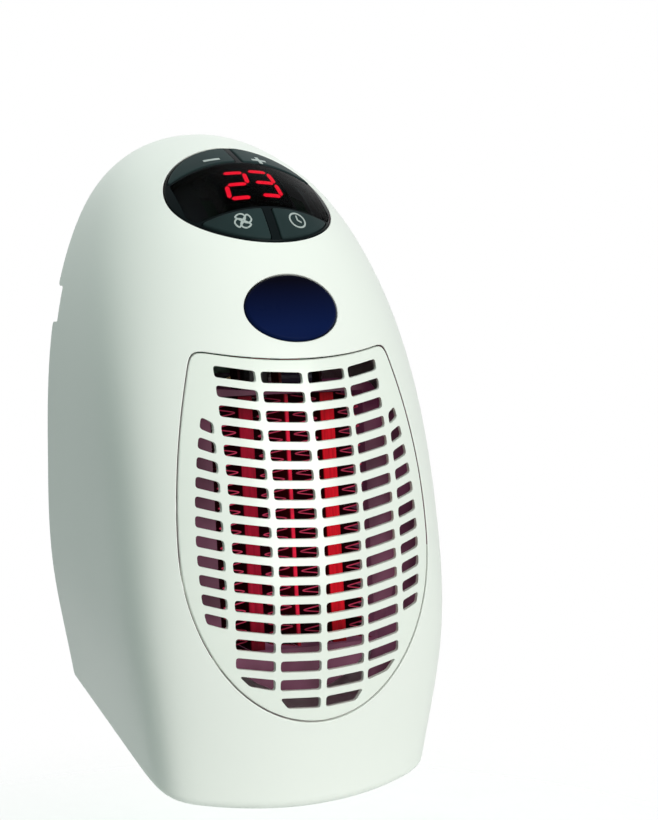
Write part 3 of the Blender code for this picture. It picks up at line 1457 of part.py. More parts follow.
def fan_spider():
    """Motor base on its struts."""
    base = pillar(FAN_BASE_RADIUS, 0.0, 0.0, 0.0, FAN_BASE_THICK, ROUND_SIDES)
    reach = FAN_BORE + FAN_BASE_THICK / 2
    for index in range(STRUT_COUNT // 2):
        inset = (index + 1) * STEP_BACK
        bar = block((-reach, inset, -STRUT_WIDTH / 2), (reach, FAN_BASE_THICK - inset, STRUT_WIDTH / 2))
        bar.transform(Matrix.Rotation(math.pi / 4 + index * math.pi / 2, 4, "Y"))
        base = fused(base, bar)
    return shifted(base, 0.0, SPIDER_REAR, CORE_MIDDLE)


def make_fan_frame(parent):
    """Square frame with a round bore, four lugs and a motor base on struts."""
    front = FAN_REAR + FAN_DEPTH
    frame = block(
        (-FAN_HALF, FAN_REAR, CORE_MIDDLE - FAN_HALF), (FAN_HALF, front, CORE_MIDDLE + FAN_HALF)
    )
    for pair in duct_post_places():
        for x, z in pair:
            frame = fused(frame, ear(x, z, front - LUG_THICK, front - 2 * STEP_BACK))
    bore = pillar(FAN_BORE, 0.0, CORE_MIDDLE, FAN_REAR - OVERRUN, front + OVERRUN, WIDE_SIDES)
    frame = cut(frame, bore, ear_holes(front - LUG_THICK, front))
    piece("fan_frame", fused(frame, fan_spider()), BLACK_RESIN, parent)


def blade(angle):
    """One twisted blade: sections from the hub to the tip, each a thin tilted bar."""
    rows = []
    tip = FAN_BORE - BLADE_CLEARANCE
    for share in np.linspace(0, 1, BLADE_STEPS):
        radius = HUB_RADIUS - HUB_WALL / 2 + share * (tip - HUB_RADIUS + HUB_WALL / 2)
        chord = BLADE_CHORD_ROOT + share * (BLADE_CHORD_TIP - BLADE_CHORD_ROOT)
        pitch = BLADE_PITCH_ROOT + share * (BLADE_PITCH_TIP - BLADE_PITCH_ROOT)
        row = []
        for along, side in ((-0.5, -1), (0.0, -1), (0.5, -1), (0.5, 1), (0.0, 1), (-0.5, 1)):
            camber = BLADE_THICK * (1 - 4 * along * along)
            flat = chord * along
            rise = side * BLADE_THICK / 2 + camber
            turn = angle + (flat * math.cos(pitch) - rise * math.sin(pitch)) / radius
            depth = flat * math.sin(pitch) + rise * math.cos(pitch)
            row.append((radius * math.cos(turn), -depth, radius * math.sin(turn)))
        rows.append(row)
    return loft_both(rows)


SPIDER_REAR = FAN_REAR + GAP
MOTOR_REAR = SPIDER_REAR + FAN_BASE_THICK + GAP
HUB_FRONT = MOTOR_REAR + MOTOR_LENGTH + HUB_WALL + 3 * GAP
HUB_REAR = HUB_FRONT - HUB_LENGTH


def make_fan(frame_parent, axis_parent):
    """Motor, bearing, shaft and the bladed rotor, all on the fan's axis."""
    motor = tube(MOTOR_RADIUS, BEARING_RADIUS + GAP, 0.0, MOTOR_LENGTH, ROUND_SIDES)
    piece("fan_motor", shifted(motor, 0.0, MOTOR_REAR, CORE_MIDDLE), COPPER, frame_parent)
    bearing = tube(BEARING_RADIUS, SHAFT_RADIUS + GAP, 0.0, BEARING_LENGTH, ROUND_SIDES)
    start = MOTOR_REAR + (MOTOR_LENGTH - BEARING_LENGTH) / 2
    piece("fan_bearing", shifted(bearing, 0.0, start, CORE_MIDDLE), BRASS, frame_parent)
    axis = -HUB_REAR
    shaft = pillar(SHAFT_RADIUS, 0.0, 0.0, MOTOR_REAR + GAP, MOTOR_REAR + GAP + SHAFT_LENGTH, 12)
    shaft.transform(Matrix.Translation((0.0, -axis, 0.0)))
    piece("fan_shaft", shaft, STEEL, axis_parent)
    profile = [
        (HUB_RADIUS, 0.0),
        (HUB_RADIUS, HUB_LENGTH - HUB_WALL / 2),
        (HUB_RADIUS - HUB_WALL / 2, HUB_LENGTH),
        (SHAFT_RADIUS + GAP, HUB_LENGTH),
        (SHAFT_RADIUS + GAP, HUB_LENGTH - HUB_WALL),
        (HUB_RADIUS - HUB_WALL, HUB_LENGTH - HUB_WALL),
        (HUB_RADIUS - HUB_WALL, 0.0),
    ]
    cup = turned(profile, WIDE_SIDES, ring=True)
    blades = []
    for index in range(BLADE_COUNT):
        blades.append(shifted(blade(2 * math.pi * index / BLADE_COUNT), 0.0, HUB_LENGTH / 2, 0.0))
    piece("fan_rotor", fused(cup, gathered(blades)), BLACK_RESIN, axis_parent)


# Power board

def board_place(shares):
    """Place on the power board from shares of its half width and its height."""
    height = POWER_BOARD_LOW + (POWER_BOARD_HIGH - POWER_BOARD_LOW) * shares[1]
    return POWER_BOARD_HALF_WIDTH * shares[0], height


def on_board(name, size, shares, look, parent):
    """Block component standing on the front of the power board."""
    place = board_place(shares)
    foot = POWER_BOARD_FORWARD + BOARD_THICK + GAP
    low = (place[0] - size[0] / 2, foot, place[1] - size[2] / 2)
    high = (place[0] + size[0] / 2, foot + size[1], place[1] + size[2] / 2)
    piece(name, block(low, high), look, parent)


def make_power_board(parent):
    """The board with its parts."""
    wide = POWER_BOARD_HALF_WIDTH
    start = POWER_BOARD_FORWARD
    board = block((-wide, start, POWER_BOARD_LOW), (wide, start + BOARD_THICK, POWER_BOARD_HIGH))
    lower, upper = power_post_places()
    holes = [
        pillar(HOLE_RADIUS, x, z, start - OVERRUN, start + OVERRUN, SCREW_SIDES)
        for x, z in lower + upper
    ]
    piece("power_board", cut(board, gathered(holes)), BOARD_GREEN, parent)
    on_board("relay", RELAY, RELAY_SHARES, BLACK_RESIN, parent)
    on_board("film_capacitor", FILM_CAPACITOR, FILM_CAPACITOR_SHARES, ((0.65, 0.45, 0.05), 0.4), parent)
    on_board("transformer", TRANSFORMER, TRANSFORMER_SHARES, ((0.55, 0.42, 0.10), 0.5), parent)
    foot = start + BOARD_THICK + GAP
    x, z = board_place(ELECTROLYTIC_SHARES)
    can = pillar(ELECTROLYTIC_RADIUS, x, z, foot, foot + ELECTROLYTIC_LENGTH, ROUND_SIDES)
    piece("electrolytic_capacitor", can, BLACK_RESIN, parent)


CARRIER_REAR = COVER_INSIDE + GAP + FLANGE_THICK + GAP
RINGS_REAR = CARRIER_REAR + CARRIER_THICK + GAP
RINGS_FRONT = RINGS_REAR + RING_THICK


def wiper(ring_radius, way):
    """Bent spring strip from the block down to one slip ring, in (height, forward)."""
    track = ring_radius + RING_WIDTH / 2
    touch = RINGS_FRONT + GAP
    root = POWER_BOARD_FORWARD - GAP - WIPER_BLOCK_THICK - GAP
    base = track - WIPER_LEAN
    points = [
        (base - WIPER_FOOT, root),
        (base, root),
        (track, touch + WIPER_THICK),
        (track + WIPER_FOOT / 2, touch + WIPER_THICK),
    ]
    under = [(h, f - WIPER_THICK) for h, f in points]
    faces = [(i, i + 1, len(points) + i + 1, len(points) + i) for i in range(len(points) - 1)]
    outline = [(PLUG_HEIGHT + way * h, f) for h, f in points + under]
    half = WIPER_WIDTH / 2
    return slab([(half, -f, h) for h, f in outline], [(-half, -f, h) for h, f in outline], faces)


def make_wipers(parent):
    """Block behind the power board with one wiper for each slip ring."""
    end = POWER_BOARD_FORWARD - GAP
    high = OUTER_RING_RADIUS + RING_WIDTH / 2 - WIPER_LEAN + 2 * WIPER_FOOT
    low = INNER_RING_RADIUS + RING_WIDTH / 2 - WIPER_LEAN + 2 * WIPER_FOOT
    wide = WIPER_BLOCK_HALF_WIDTH
    body = block((-wide, end - WIPER_BLOCK_THICK, PLUG_HEIGHT - low), (wide, end, PLUG_HEIGHT + high))
    piece("wiper_block", body, BLACK_RESIN, parent)
    piece("wiper_contact_outer", wiper(OUTER_RING_RADIUS, 1), BRASS, parent)
    piece("wiper_contact_inner", wiper(INNER_RING_RADIUS, -1), BRASS, parent)


# Plug

def make_turret(parent):
    """Round plug body with socket guides, turning in the rear cover."""
    inside = PLUG_REACH + COVER_INSIDE + GAP
    end = inside + FLANGE_THICK
    outer = TURRET_RADIUS
    inner = TURRET_RADIUS - TURRET_WALL
    chamfer = TURRET_WALL / 4
    profile = [
        (outer - chamfer, 0.0),
        (outer, chamfer),
        (outer, inside),
        (FLANGE_RADIUS, inside),
        (FLANGE_RADIUS, end),
        (inner, end),
        (inner, TURRET_FACE),
    ]
    cup = turned(profile, WIDE_SIDES)
    guides = []
    for side in (-1, 1):
        low, high = sorted((side * (outer - GUIDE_DEPTH + chamfer), side * (outer + OVERRUN)))
        guides.append(
            block((low, -OVERRUN, -GUIDE_WIDTH / 2), (high, PLUG_REACH - GUIDE_DEPTH, GUIDE_WIDTH / 2))
        )
        low, high = sorted((side * (outer - CLIP_DEPTH), side * (outer + OVERRUN)))
        guides.append(
            block((-CLIP_WIDTH / 2, -OVERRUN, low), (CLIP_WIDTH / 2, PLUG_REACH - GUIDE_DEPTH, high))
        )
    radius, end = PIN_RADIUS + GAP, TURRET_FACE + OVERRUN
    places = (-PIN_SPACING / 2, PIN_SPACING / 2)
    holes = [pillar(radius, across, 0.0, -OVERRUN, end, ROUND_SIDES) for across in places]
    piece("plug_turret", cut(cup, gathered(guides + holes)), IVORY, parent)


def make_pins(parent):
    """Two round pins with rounded tips, each with a collar behind the face and a tail inwards."""
    tip = -PIN_LENGTH
    seat = TURRET_FACE + GAP
    edge = PIN_RADIUS - PIN_TIP_ROUND
    bend = PIN_TIP_ROUND * (1 - math.sqrt(0.5))
    collar = PIN_RADIUS + PIN_COLLAR
    tail = PIN_RADIUS - PIN_COLLAR
    profile = [
        (edge, tip),
        (PIN_RADIUS - bend, tip + bend),
        (PIN_RADIUS, tip + PIN_TIP_ROUND),
        (PIN_RADIUS, seat),
        (collar, seat),
        (collar, seat + 2 * PIN_COLLAR),
        (tail, seat + 2 * PIN_COLLAR),
        (tail, PLUG_REACH + CARRIER_REAR - SPIGOT_LENGTH - GAP),
    ]
    for name, side in (("plug_pin_left", -1), ("plug_pin_right", 1)):
        pin = shifted(turned(profile, ROUND_SIDES), side * PIN_SPACING / 2, 0.0, 0.0)
        piece(name, pin, NICKEL, parent)


def make_slip_rings(parent):
    """Disc on the inner end of the plug, with two brass slip rings."""
    start = PLUG_REACH + CARRIER_REAR
    spigot = TURRET_RADIUS - TURRET_WALL - GAP
    profile = [
        (spigot, start - SPIGOT_LENGTH),
        (spigot, start),
        (CARRIER_RADIUS, start),
        (CARRIER_RADIUS, start + CARRIER_THICK),
    ]
    piece("slip_ring_carrier", turned(profile, WIDE_SIDES), BLACK_RESIN, parent)
    first = PLUG_REACH + RINGS_REAR
    for name, radius in (
        ("slip_ring_inner", INNER_RING_RADIUS), ("slip_ring_outer", OUTER_RING_RADIUS)
    ):
        piece(name, tube(radius + RING_WIDTH, radius, first, first + RING_THICK, 28), BRASS, parent)


def make_retainer(parent):
    """Ring screwed inside the rear cover, over the plug's flange."""
    start = COVER_INSIDE + GAP
    ledge = start + FLANGE_THICK + GAP
    end = ledge + RETAINER_THICK
    bore = CARRIER_RADIUS + 2 * GAP
    profile = [(RETAINER_RADIUS, start), (RETAINER_RADIUS, end), (bore, end), (bore, ledge),
               (FLANGE_RADIUS + GAP, ledge), (FLANGE_RADIUS + GAP, start)]
    ring = turned(profile, WIDE_SIDES, ring=True)
    ears = []
    for x, z in retainer_screw_places():
        ears.append(pillar(RETAINER_EAR_RADIUS, x, z - PLUG_HEIGHT, start, start + FLANGE_THICK, 12))
    ring = shifted(fused(ring, gathered(ears)), 0.0, 0.0, PLUG_HEIGHT)
    holes = [
        pillar(HOLE_RADIUS, x, z, start - OVERRUN, end + OVERRUN, SCREW_SIDES)
        for x, z in retainer_screw_places()
    ]
    piece("turret_retainer", cut(ring, gathered(holes)), BLACK_RESIN, parent)


# Main switch

def switch_face():
    """Distance of the switch's bezel from the housing's middle: clear of the wall it sits on."""
    half = ROCKER_OPENING_LENGTH / 2 + BEZEL_OVERLAP
    wide = ROCKER_OPENING_WIDTH / 2 + BEZEL_OVERLAP
    reach = []
    for height in np.linspace(ROCKER_HEIGHT - half, ROCKER_HEIGHT + half, 5):
        for forward in (ROCKER_FORWARD - wide, ROCKER_FORWARD + wide):
            level = np.clip(level_of(forward, height), 0.0, 1.0)
            reach.append(float(half_width_at(level)))
    return max(reach) + GAP


def switch_box(near, far, half_width, half_height):
    """Box round the switch's middle, from one distance out to another."""
    low = (near, ROCKER_FORWARD - half_width, ROCKER_HEIGHT - half_height)
    high = (far, ROCKER_FORWARD + half_width, ROCKER_HEIGHT + half_height)
    return block(low, high)


def make_switch_body(parent):
    """Switch body behind the side wall, its bezel outside it and the well for the rocker."""
    face = switch_face()
    half, wide = ROCKER_OPENING_LENGTH / 2, ROCKER_OPENING_WIDTH / 2
    box = switch_box(FAN_HALF + ROCKER_CLEARANCE, face + BEZEL_THICK / 2, wide - GAP, half - GAP)
    bezel = switch_box(face, face + BEZEL_THICK, wide + BEZEL_OVERLAP, half + BEZEL_OVERLAP)
    top = face + BEZEL_THICK
    half_key, half_well = KEY_LENGTH / 2 + KEY_SLACK, KEY_WIDTH / 2 + GAP
    well = switch_box(top - KEY_WELL_DEPTH, top + OVERRUN, half_well, half_key)
    piece("switch_body", cut(fused(box, bezel), well), BLACK_RESIN, parent)


def make_rocker(pivot):
    """Rocker with a dished face: both ends stand out, and its foot is rounded."""
    half = KEY_LENGTH / 2
    end = KEY_CREST + half * math.tan(KEY_ANGLE)
    outline = [
        (KEY_CREST, 0.0),
        (end, half),
        (-KEY_DEPTH / 2, half),
        (-KEY_DEPTH, half / 2),
        (-KEY_DEPTH, -half / 2),
        (-KEY_DEPTH / 2, -half),
        (end, -half),
    ]
    half_width = KEY_WIDTH / 2
    near = [(x, half_width, z) for x, z in outline]
    far = [(x, -half_width, z) for x, z in outline]
    key = slab(near, far, [tuple(range(len(outline)))])
    piece("rocker_key", key, BLACK_RESIN, pivot, rotation=(0.0, KEY_ANGLE, 0.0))


# Screws

def screw(across, height, seat, tip):
    """Pan head screw driven forward: the head's underside at seat, the point at tip."""
    back = seat - SCREW_HEAD
    profile = [
        (SCREW_HEAD_RADIUS, back), (SCREW_HEAD_RADIUS, seat), (SCREW_RADIUS, seat), (SCREW_RADIUS, tip)
    ]
    return shifted(turned(profile, SCREW_SIDES), across, 0.0, height)


def screw_set(name, places, make, ends, parent):
    """Numbered screws of one set, one object each, between the seat and the tip given as ends."""
    for index, (x, z) in enumerate(places):
        piece(f"{name}_{index + 1}", make(x, z, *ends), STEEL, parent)


def make_screws(parent):
    """The screws that run forward: case screws and duct screws."""
    ends = (COVER_RECESS - GAP, COVER_INSIDE + GAP + SCREW_BITE)
    screw_set("case_screw", case_screw_places(), screw, ends, parent)
    ends = (FAN_REAR + FAN_DEPTH - LUG_THICK - GAP, DUCT_POST_END + SCREW_BITE)
    screw_set("duct_screw", duct_post_places()[1], screw, ends, parent)


def back_screw(across, height, seat, tip):
    """Screw driven rearwards: the head's underside at seat, the point at a smaller forward."""
    made = screw(0.0, 0.0, 0.0, seat - tip)
    made.transform(Matrix.Rotation(math.pi, 4, "Z"))
    return shifted(made, across, seat, height)


def make_back_screws(parent):
    """The screws that run rearwards: power board screws and the retaining ring's screws."""
    ends = (POWER_BOARD_FORWARD + BOARD_THICK + GAP, POWER_BOARD_FORWARD - GAP - SCREW_BITE)
    screw_set("power_board_screw", power_post_places()[1], back_screw, ends, parent)
    ends = (COVER_INSIDE + GAP + FLANGE_THICK + GAP, COVER_INSIDE - RETAINER_SCREW_BITE)
    screw_set("retainer_screw", retainer_screw_places(), back_screw, ends, parent)


# The whole heater

def clear_scene():
    """Remove whatever the scene holds."""
    for item in list(bpy.data.objects):
        bpy.data.objects.remove(item, do_unlink=True)


def build():
    """Make every piece on its datum."""
    plug = datum("plug_datum", (0.0, 0.0, 0.0))
    housing = datum("housing_datum", (0.0, -PLUG_REACH, -PLUG_HEIGHT))
    panel = datum("panel_datum", (0.0, -PANEL_FORWARD, PANEL_HEIGHT), PANEL_TILT, housing)
    lens = datum("lens_datum", (0.0, -LENS_FORWARD, LENS_HEIGHT), LENS_TILT, housing)
    fan_axis = datum("fan_axis", (0.0, -HUB_REAR, CORE_MIDDLE), 0.0, housing)
    pivot_x = switch_face() + BEZEL_THICK - KEY_PIVOT_DEPTH
    rocker_pivot = datum("rocker_pivot", (pivot_x, -ROCKER_FORWARD, ROCKER_HEIGHT), 0.0, housing)
    make_front_shell(housing)
    make_rear_cover(housing)
    make_front_grille(housing)
    make_fascia(panel)
    for name, upper, side in (
        ("button_minus", True, -1),
        ("button_plus", True, 1),
        ("button_speed", False, -1),
        ("button_timer", False, 1),
    ):
        make_key(name, upper, side, panel)
    make_window(panel)
    make_control_board(panel)
    make_display(panel)
    make_receiver(housing, lens)
    make_heater_frame(housing)
    make_core(housing)
    make_safety_parts(housing)
    make_air_duct(housing)
    make_fan_frame(housing)
    make_fan(housing, fan_axis)
    make_power_board(housing)
    make_wipers(housing)
    make_retainer(housing)
    make_switch_body(housing)
    make_rocker(rocker_pivot)
    make_screws(housing)
    make_back_screws(housing)
    make_turret(plug)
    make_pins(plug)
    make_slip_rings(plug)


clear_scene()
build()
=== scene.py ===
# %% [markdown]
# # A plug-in fan heater, dressed for its picture
#
# The real object hangs on a wall socket: an egg-shaped plastic shell, a slotted grille, a glossy
# panel and a hot core. Its CAD model is loaded as a fixed frame. Every surface that shows gets a
# finer piece in its place or a material of its own, and each piece rides on a body of the frame,
# so that it moves with that body's joint. Inside the housing a place is (across, forward,
# height) in metres: forward is measured from the rear plane, height from the front of the foot.

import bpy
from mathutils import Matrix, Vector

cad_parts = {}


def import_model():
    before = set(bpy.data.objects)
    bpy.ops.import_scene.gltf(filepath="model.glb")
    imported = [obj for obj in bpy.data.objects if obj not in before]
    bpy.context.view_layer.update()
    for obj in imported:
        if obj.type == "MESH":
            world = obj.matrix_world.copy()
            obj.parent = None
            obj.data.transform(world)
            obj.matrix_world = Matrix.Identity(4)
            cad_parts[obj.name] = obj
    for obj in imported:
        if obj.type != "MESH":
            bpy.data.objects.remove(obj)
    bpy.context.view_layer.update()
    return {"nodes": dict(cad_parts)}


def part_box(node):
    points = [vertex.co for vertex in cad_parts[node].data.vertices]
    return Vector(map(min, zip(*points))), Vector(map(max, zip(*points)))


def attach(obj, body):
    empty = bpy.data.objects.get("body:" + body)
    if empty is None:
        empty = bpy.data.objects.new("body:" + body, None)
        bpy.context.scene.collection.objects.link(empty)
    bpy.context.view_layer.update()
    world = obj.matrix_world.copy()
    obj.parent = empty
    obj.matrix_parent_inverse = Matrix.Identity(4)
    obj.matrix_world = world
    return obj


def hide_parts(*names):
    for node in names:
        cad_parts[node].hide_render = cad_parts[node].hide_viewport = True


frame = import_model()

import math

import bmesh
import bpy
import numpy as np
from mathutils import Vector

# %% [markdown]
# ## The housing's skin
#
# The real shell is one smooth moulded egg, cut flat at the back. It could be sculpted, or drawn
# as a subdivided cage. Here it is a formula, because shell, grille, panel and lens then share
# one surface and fit each other. A section at a share of the height (its level) is a
# superellipse: |x/w|^N + (y/d)^N = 1, whose front falls back with the square of the distance
# from the middle. Width, depth, squareness N and fall all change smoothly with the level.

# %% The skin as formulas
REAR_PLANE = 0.018
PLUG_HEIGHT = 0.118
BODY_HEIGHT = 0.177
HALF_WIDTH = 0.0468
BODY_DEPTH = 0.0806
FOOT_RISE = 0.0211
FOOT_ROUND = 0.003
WALL = 0.0022
# At each knot, a value of sqrt(1 - level), stands a share of the full width and depth.
KNOTS = np.array([0.0, 0.15, 0.30, 0.45, 0.60, 0.75, 0.88, 1.0])
WIDTHS = HALF_WIDTH * np.array([0.0, 0.369, 0.660, 0.851, 0.967, 1.0, 0.979, 0.844])
DEPTHS = BODY_DEPTH * np.array([0.0, 0.209, 0.492, 0.697, 0.856, 0.966, 1.0, 0.954])
SQUARENESS_TOP, SQUARENESS_GAIN = 1.7, 14.0
FALL_FOOT, FALL_GAIN = 0.141, 0.257
LEAST, TINY = 1e-6, 1e-9
LOWEST_LEVEL, WIDEST_SHARE = 1e-4, 1.2
NORMAL_STEP = 2e-5


def through(values, at):
    """Smooth curve through values at the knots: cubic pieces whose slopes come from neighbours."""
    slopes = np.gradient(values, KNOTS)
    at = np.clip(at, 0.0, 1.0)
    left = np.clip(np.searchsorted(KNOTS, at, side="right") - 1, 0, len(KNOTS) - 2)
    span = KNOTS[left + 1] - KNOTS[left]
    t = (at - KNOTS[left]) / span
    rise = values[left + 1] - values[left]
    bend, other = slopes[left] * span - rise, rise - slopes[left + 1] * span
    return values[left] + t * rise + t * (1 - t) * ((1 - t) * bend + t * other)


def shape_at(level):
    """Half width, depth, squareness and fall of the section at a level."""
    mark = np.sqrt(np.clip(1 - level, 0.0, 1.0))
    wide = np.maximum(through(WIDTHS, mark), LEAST)
    deep = np.maximum(through(DEPTHS, mark), LEAST)
    power = SQUARENESS_TOP + SQUARENESS_GAIN * (1 - level)
    fall = FALL_FOOT + FALL_GAIN * level ** 2
    return wide, deep, power, fall


def level_of(forward, height):
    """Level of the section through a point: the foot rises towards the wall."""
    rise = FOOT_RISE * (1 - forward / DEPTHS[-1])
    return (height - rise) / (BODY_HEIGHT - rise)


def skin_forward(across, forward, height):
    """How far forward the skin stands on the section through a point."""
    wide, deep, power, fall = shape_at(np.clip(level_of(forward, height), 0.0, 1.0))
    share = np.clip(np.abs(across) / wide, 0.0, 1.0)
    return deep * (1 - fall * share ** 2) * (1 - share ** power) ** (1 / power)


def outside(points):
    """Zero on the skin and positive outside it: |x/w|^N + (y/d)^N - 1."""
    across, forward, height = points[:, 0], np.abs(points[:, 1]), points[:, 2]
    wide, deep, power, fall = shape_at(np.clip(level_of(forward, height), LOWEST_LEVEL, 1.0))
    share = np.abs(across) / wide
    front = np.maximum(deep * (1 - fall * np.minimum(share, WIDEST_SHARE) ** 2), LEAST)
    return share ** power + (forward / front) ** power - 1


def skin_normals(points):
    """Unit normals of the skin and distance from it, from the slope of its formula."""
    slope = np.stack([
        (outside(points + axis) - outside(points - axis)) / (2 * NORMAL_STEP)
        for axis in NORMAL_STEP * np.eye(3)
    ], axis=1)
    length = np.maximum(np.linalg.norm(slope, axis=1), TINY)
    return slope / length[:, None], outside(points) / length


def world(points):
    """Points in the housing's axes brought into the shared frame."""
    points = np.asarray(points, dtype=float)
    forward = -REAR_PLANE - points[..., 1]
    return np.stack([points[..., 0], forward, points[..., 2] - PLUG_HEIGHT], -1)


def housing(points):
    """Points of the shared frame brought into the housing's axes."""
    return np.stack([points[:, 0], -REAR_PLANE - points[:, 1], points[:, 2] + PLUG_HEIGHT], -1)


# Turns a direction from the housing's axes into the shared frame's, and back.
FORWARD_FLIP = np.array([1.0, -1.0, 1.0])
print("half width at half height: %.1f mm" % (1000 * shape_at(0.5)[0]))

# %% [markdown]
# ## Planes on the skin
#
# The panel, the lens and the grille are drawn flat and then laid on the curved skin. A
# shrinkwrap would do it too. Here each lies over a plane with its own axes u (across), v (up the
# plane) and n (out of it), and `lift` finds how far the skin stands from the plane by halving,
# which is exact for any place.

# %% Planes and outlines
# A plane is its tilt and the place (forward, height) where u, v and n are 0.
PANEL = (math.radians(36), (0.0355, 0.1603))
LENS = (math.radians(65), (0.0623, 0.1306))
FRONT = (math.radians(90), (0.0, 0.0))
LIFT_LOW, LIFT_HIGH, HALVINGS = -0.080, 0.083, 42
SIDE_FLIP = np.array([-1.0, 1.0])
WINDOW_HALF = 5


def from_plane(plane, u, v, n):
    """Point (u, v, n) of a tilted plane in the housing's axes."""
    tilt, (forward, height) = plane
    u, v, n = np.broadcast_arrays(*(np.asarray(value, dtype=float) for value in (u, v, n)))
    return np.stack([
        u,
        forward - v * math.cos(tilt) + n * math.sin(tilt),
        height + v * math.sin(tilt) + n * math.cos(tilt),
    ], -1)


def lift(plane, u, v):
    """Distance from the plane to the skin along n, by halving a span that holds it."""
    u, v = np.asarray(u, dtype=float), np.asarray(v, dtype=float)
    low, high = np.full(u.shape, LIFT_LOW), np.full(u.shape, LIFT_HIGH)
    for _ in range(HALVINGS):
        middle = (low + high) / 2
        point = from_plane(plane, u, v, middle)
        out = point[..., 1] > skin_forward(point[..., 0], point[..., 1], point[..., 2])
        high, low = np.where(out, middle, high), np.where(out, low, middle)
    return (low + high) / 2


def on_skin(plane, ring, stands):
    """An outline's points on the skin, standing out of it along the plane's normal."""
    return from_plane(plane, ring[:, 0], ring[:, 1], lift(plane, ring[:, 0], ring[:, 1]) + stands)


def resampled(outline, pitch):
    """Closed outline with its points shared out evenly by length."""
    ring = np.vstack([outline, outline[:1]])
    length = np.concatenate([[0.0], np.cumsum(np.linalg.norm(np.diff(ring, axis=0), axis=1))])
    count = max(12, int(round(length[-1] / pitch)))
    marks = np.linspace(0, length[-1], count + 1)[:-1]
    return np.stack([np.interp(marks, length, ring[:, axis]) for axis in (0, 1)], 1)


def softened(outline, radius, pitch):
    """Closed outline with its corners rounded by averaging each point over a window of length."""
    fine = resampled(np.asarray(outline, dtype=float), radius / WINDOW_HALF)
    kernel = np.hanning(2 * WINDOW_HALF + 3)[1:-1]
    kernel /= kernel.sum()
    wrapped = np.vstack([fine[-WINDOW_HALF:], fine, fine[:WINDOW_HALF]])
    smooth = np.stack([np.convolve(wrapped[:, axis], kernel, mode="valid") for axis in (0, 1)], 1)
    return resampled(smooth, pitch)


def drawn_in(outline, inset):
    """Counterclockwise outline moved inwards along its own normals by an inset."""
    ahead, behind = np.roll(outline, -1, axis=0), np.roll(outline, 1, axis=0)
    along = ahead - behind
    along /= np.maximum(np.linalg.norm(along, axis=1, keepdims=True), TINY)
    return outline + inset * np.stack([-along[:, 1], along[:, 0]], 1)


def oval(half_width, half_length, count=160):
    """Ellipse (a cos t, b sin t)."""
    turn = np.linspace(0, 2 * math.pi, count, endpoint=False)
    return np.stack([half_width * np.cos(turn), half_length * np.sin(turn)], 1)


print("skin above the panel's plane: %.2f mm" % (1000 * float(lift(PANEL, 0.0, 0.0))))

# %% [markdown]
# ## Meshes from grids
#
# Every new piece is a grid of points: rows along one parameter, columns along the other, joined
# by quads. A primitive that is pushed about would also do, but a grid keeps every formula in
# whole arrays and its faces even.

# %% Objects from arrays
def object_of(name, points, faces, body="housing", slot=None, replaces=()):
    """Mesh object from arrays in the housing's axes, riding on a body of the frame."""
    mesh = bpy.data.meshes.new(name)
    mesh.from_pydata(world(points).tolist(), [], faces)
    mesh.update()
    made = bpy.data.objects.new(name, mesh)
    bpy.context.scene.collection.objects.link(made)
    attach(made, body)
    if replaces:
        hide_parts(*replaces)
    return made


def grid_faces(rows, columns, start=0):
    """Quads between rings of points: a point, the next in its ring, and the two a ring on."""
    first = start + np.arange((rows - 1) * columns).reshape(rows - 1, columns)
    after = np.roll(first, -1, axis=1)
    cells = np.stack([first, after, after + columns, first + columns], -1)
    return [tuple(cell) for cell in cells.reshape(-1, 4).tolist()]


def outward(mesh):
    """Faces turned outwards and doubled points joined."""
    work = bmesh.new()
    work.from_mesh(mesh)
    bmesh.ops.remove_doubles(work, verts=work.verts, dist=LEAST)
    bmesh.ops.recalc_face_normals(work, faces=work.faces)
    work.to_mesh(mesh)
    work.free()


def closed_loft(rows):
    """Points and faces of a closed body through rings, flat at both ends."""
    rows = np.asarray(rows)
    count, width = rows.shape[:2]
    faces = grid_faces(count, width)
    faces += [tuple(range(width))[::-1], tuple(range((count - 1) * width, count * width))]
    return rows.reshape(-1, 3), faces


print("the faces between two rings of three points:", grid_faces(2, 3))

# %% [markdown]
# ## Cutting
#
# Openings are moulded through the real parts. They could be left out of the grids, but a Boolean
# with a closed cutter gives each opening its own wall, whatever the grid behind it. It is
# applied at once, so that the shading can follow.

# %% Cutting
def tool(points, faces):
    """Hidden helper mesh for a Boolean, in the housing's axes."""
    mesh = bpy.data.meshes.new("tool")
    mesh.from_pydata(world(points).tolist(), [], faces)
    outward(mesh)
    return mesh


def gathered(parts):
    """Several (points, faces) as one."""
    points, faces, start = [], [], 0
    for cloud, cells in parts:
        points.append(np.asarray(cloud, dtype=float))
        faces += [tuple(start + index for index in cell) for cell in cells]
        start += len(cloud)
    return np.vstack(points), faces


def cut(target, parts):
    """Boolean difference of an object's mesh and closed parts, applied."""
    cutter = bpy.data.objects.new("cutter", tool(*gathered(parts)))
    bpy.context.scene.collection.objects.link(cutter)
    change = target.modifiers.new("cut", "BOOLEAN")
    change.operation, change.solver, change.object = "DIFFERENCE", "EXACT", cutter
    bpy.context.view_layer.update()
    evaluated = target.evaluated_get(bpy.context.evaluated_depsgraph_get())
    made = bpy.data.meshes.new_from_object(evaluated)
    target.modifiers.clear()
    target.data = made
    bpy.data.objects.remove(cutter, do_unlink=True)


# %% [markdown]
# ## Shading
#
# A Boolean leaves long thin faces, and shading that follows them shows streaks on gloss. The
# skin's own formula gives the true normal at each corner instead, wherever a face lies on it.

# %% Shading
ON_SKIN = 4e-5
FACING = 0.75
SKIN_SHARP = 50.0


def smooth(target, angle):
    """Smooth shading with edges sharper than the angle kept."""
    target.data.shade_smooth()
    target.data.set_sharp_from_angle(angle=math.radians(angle))


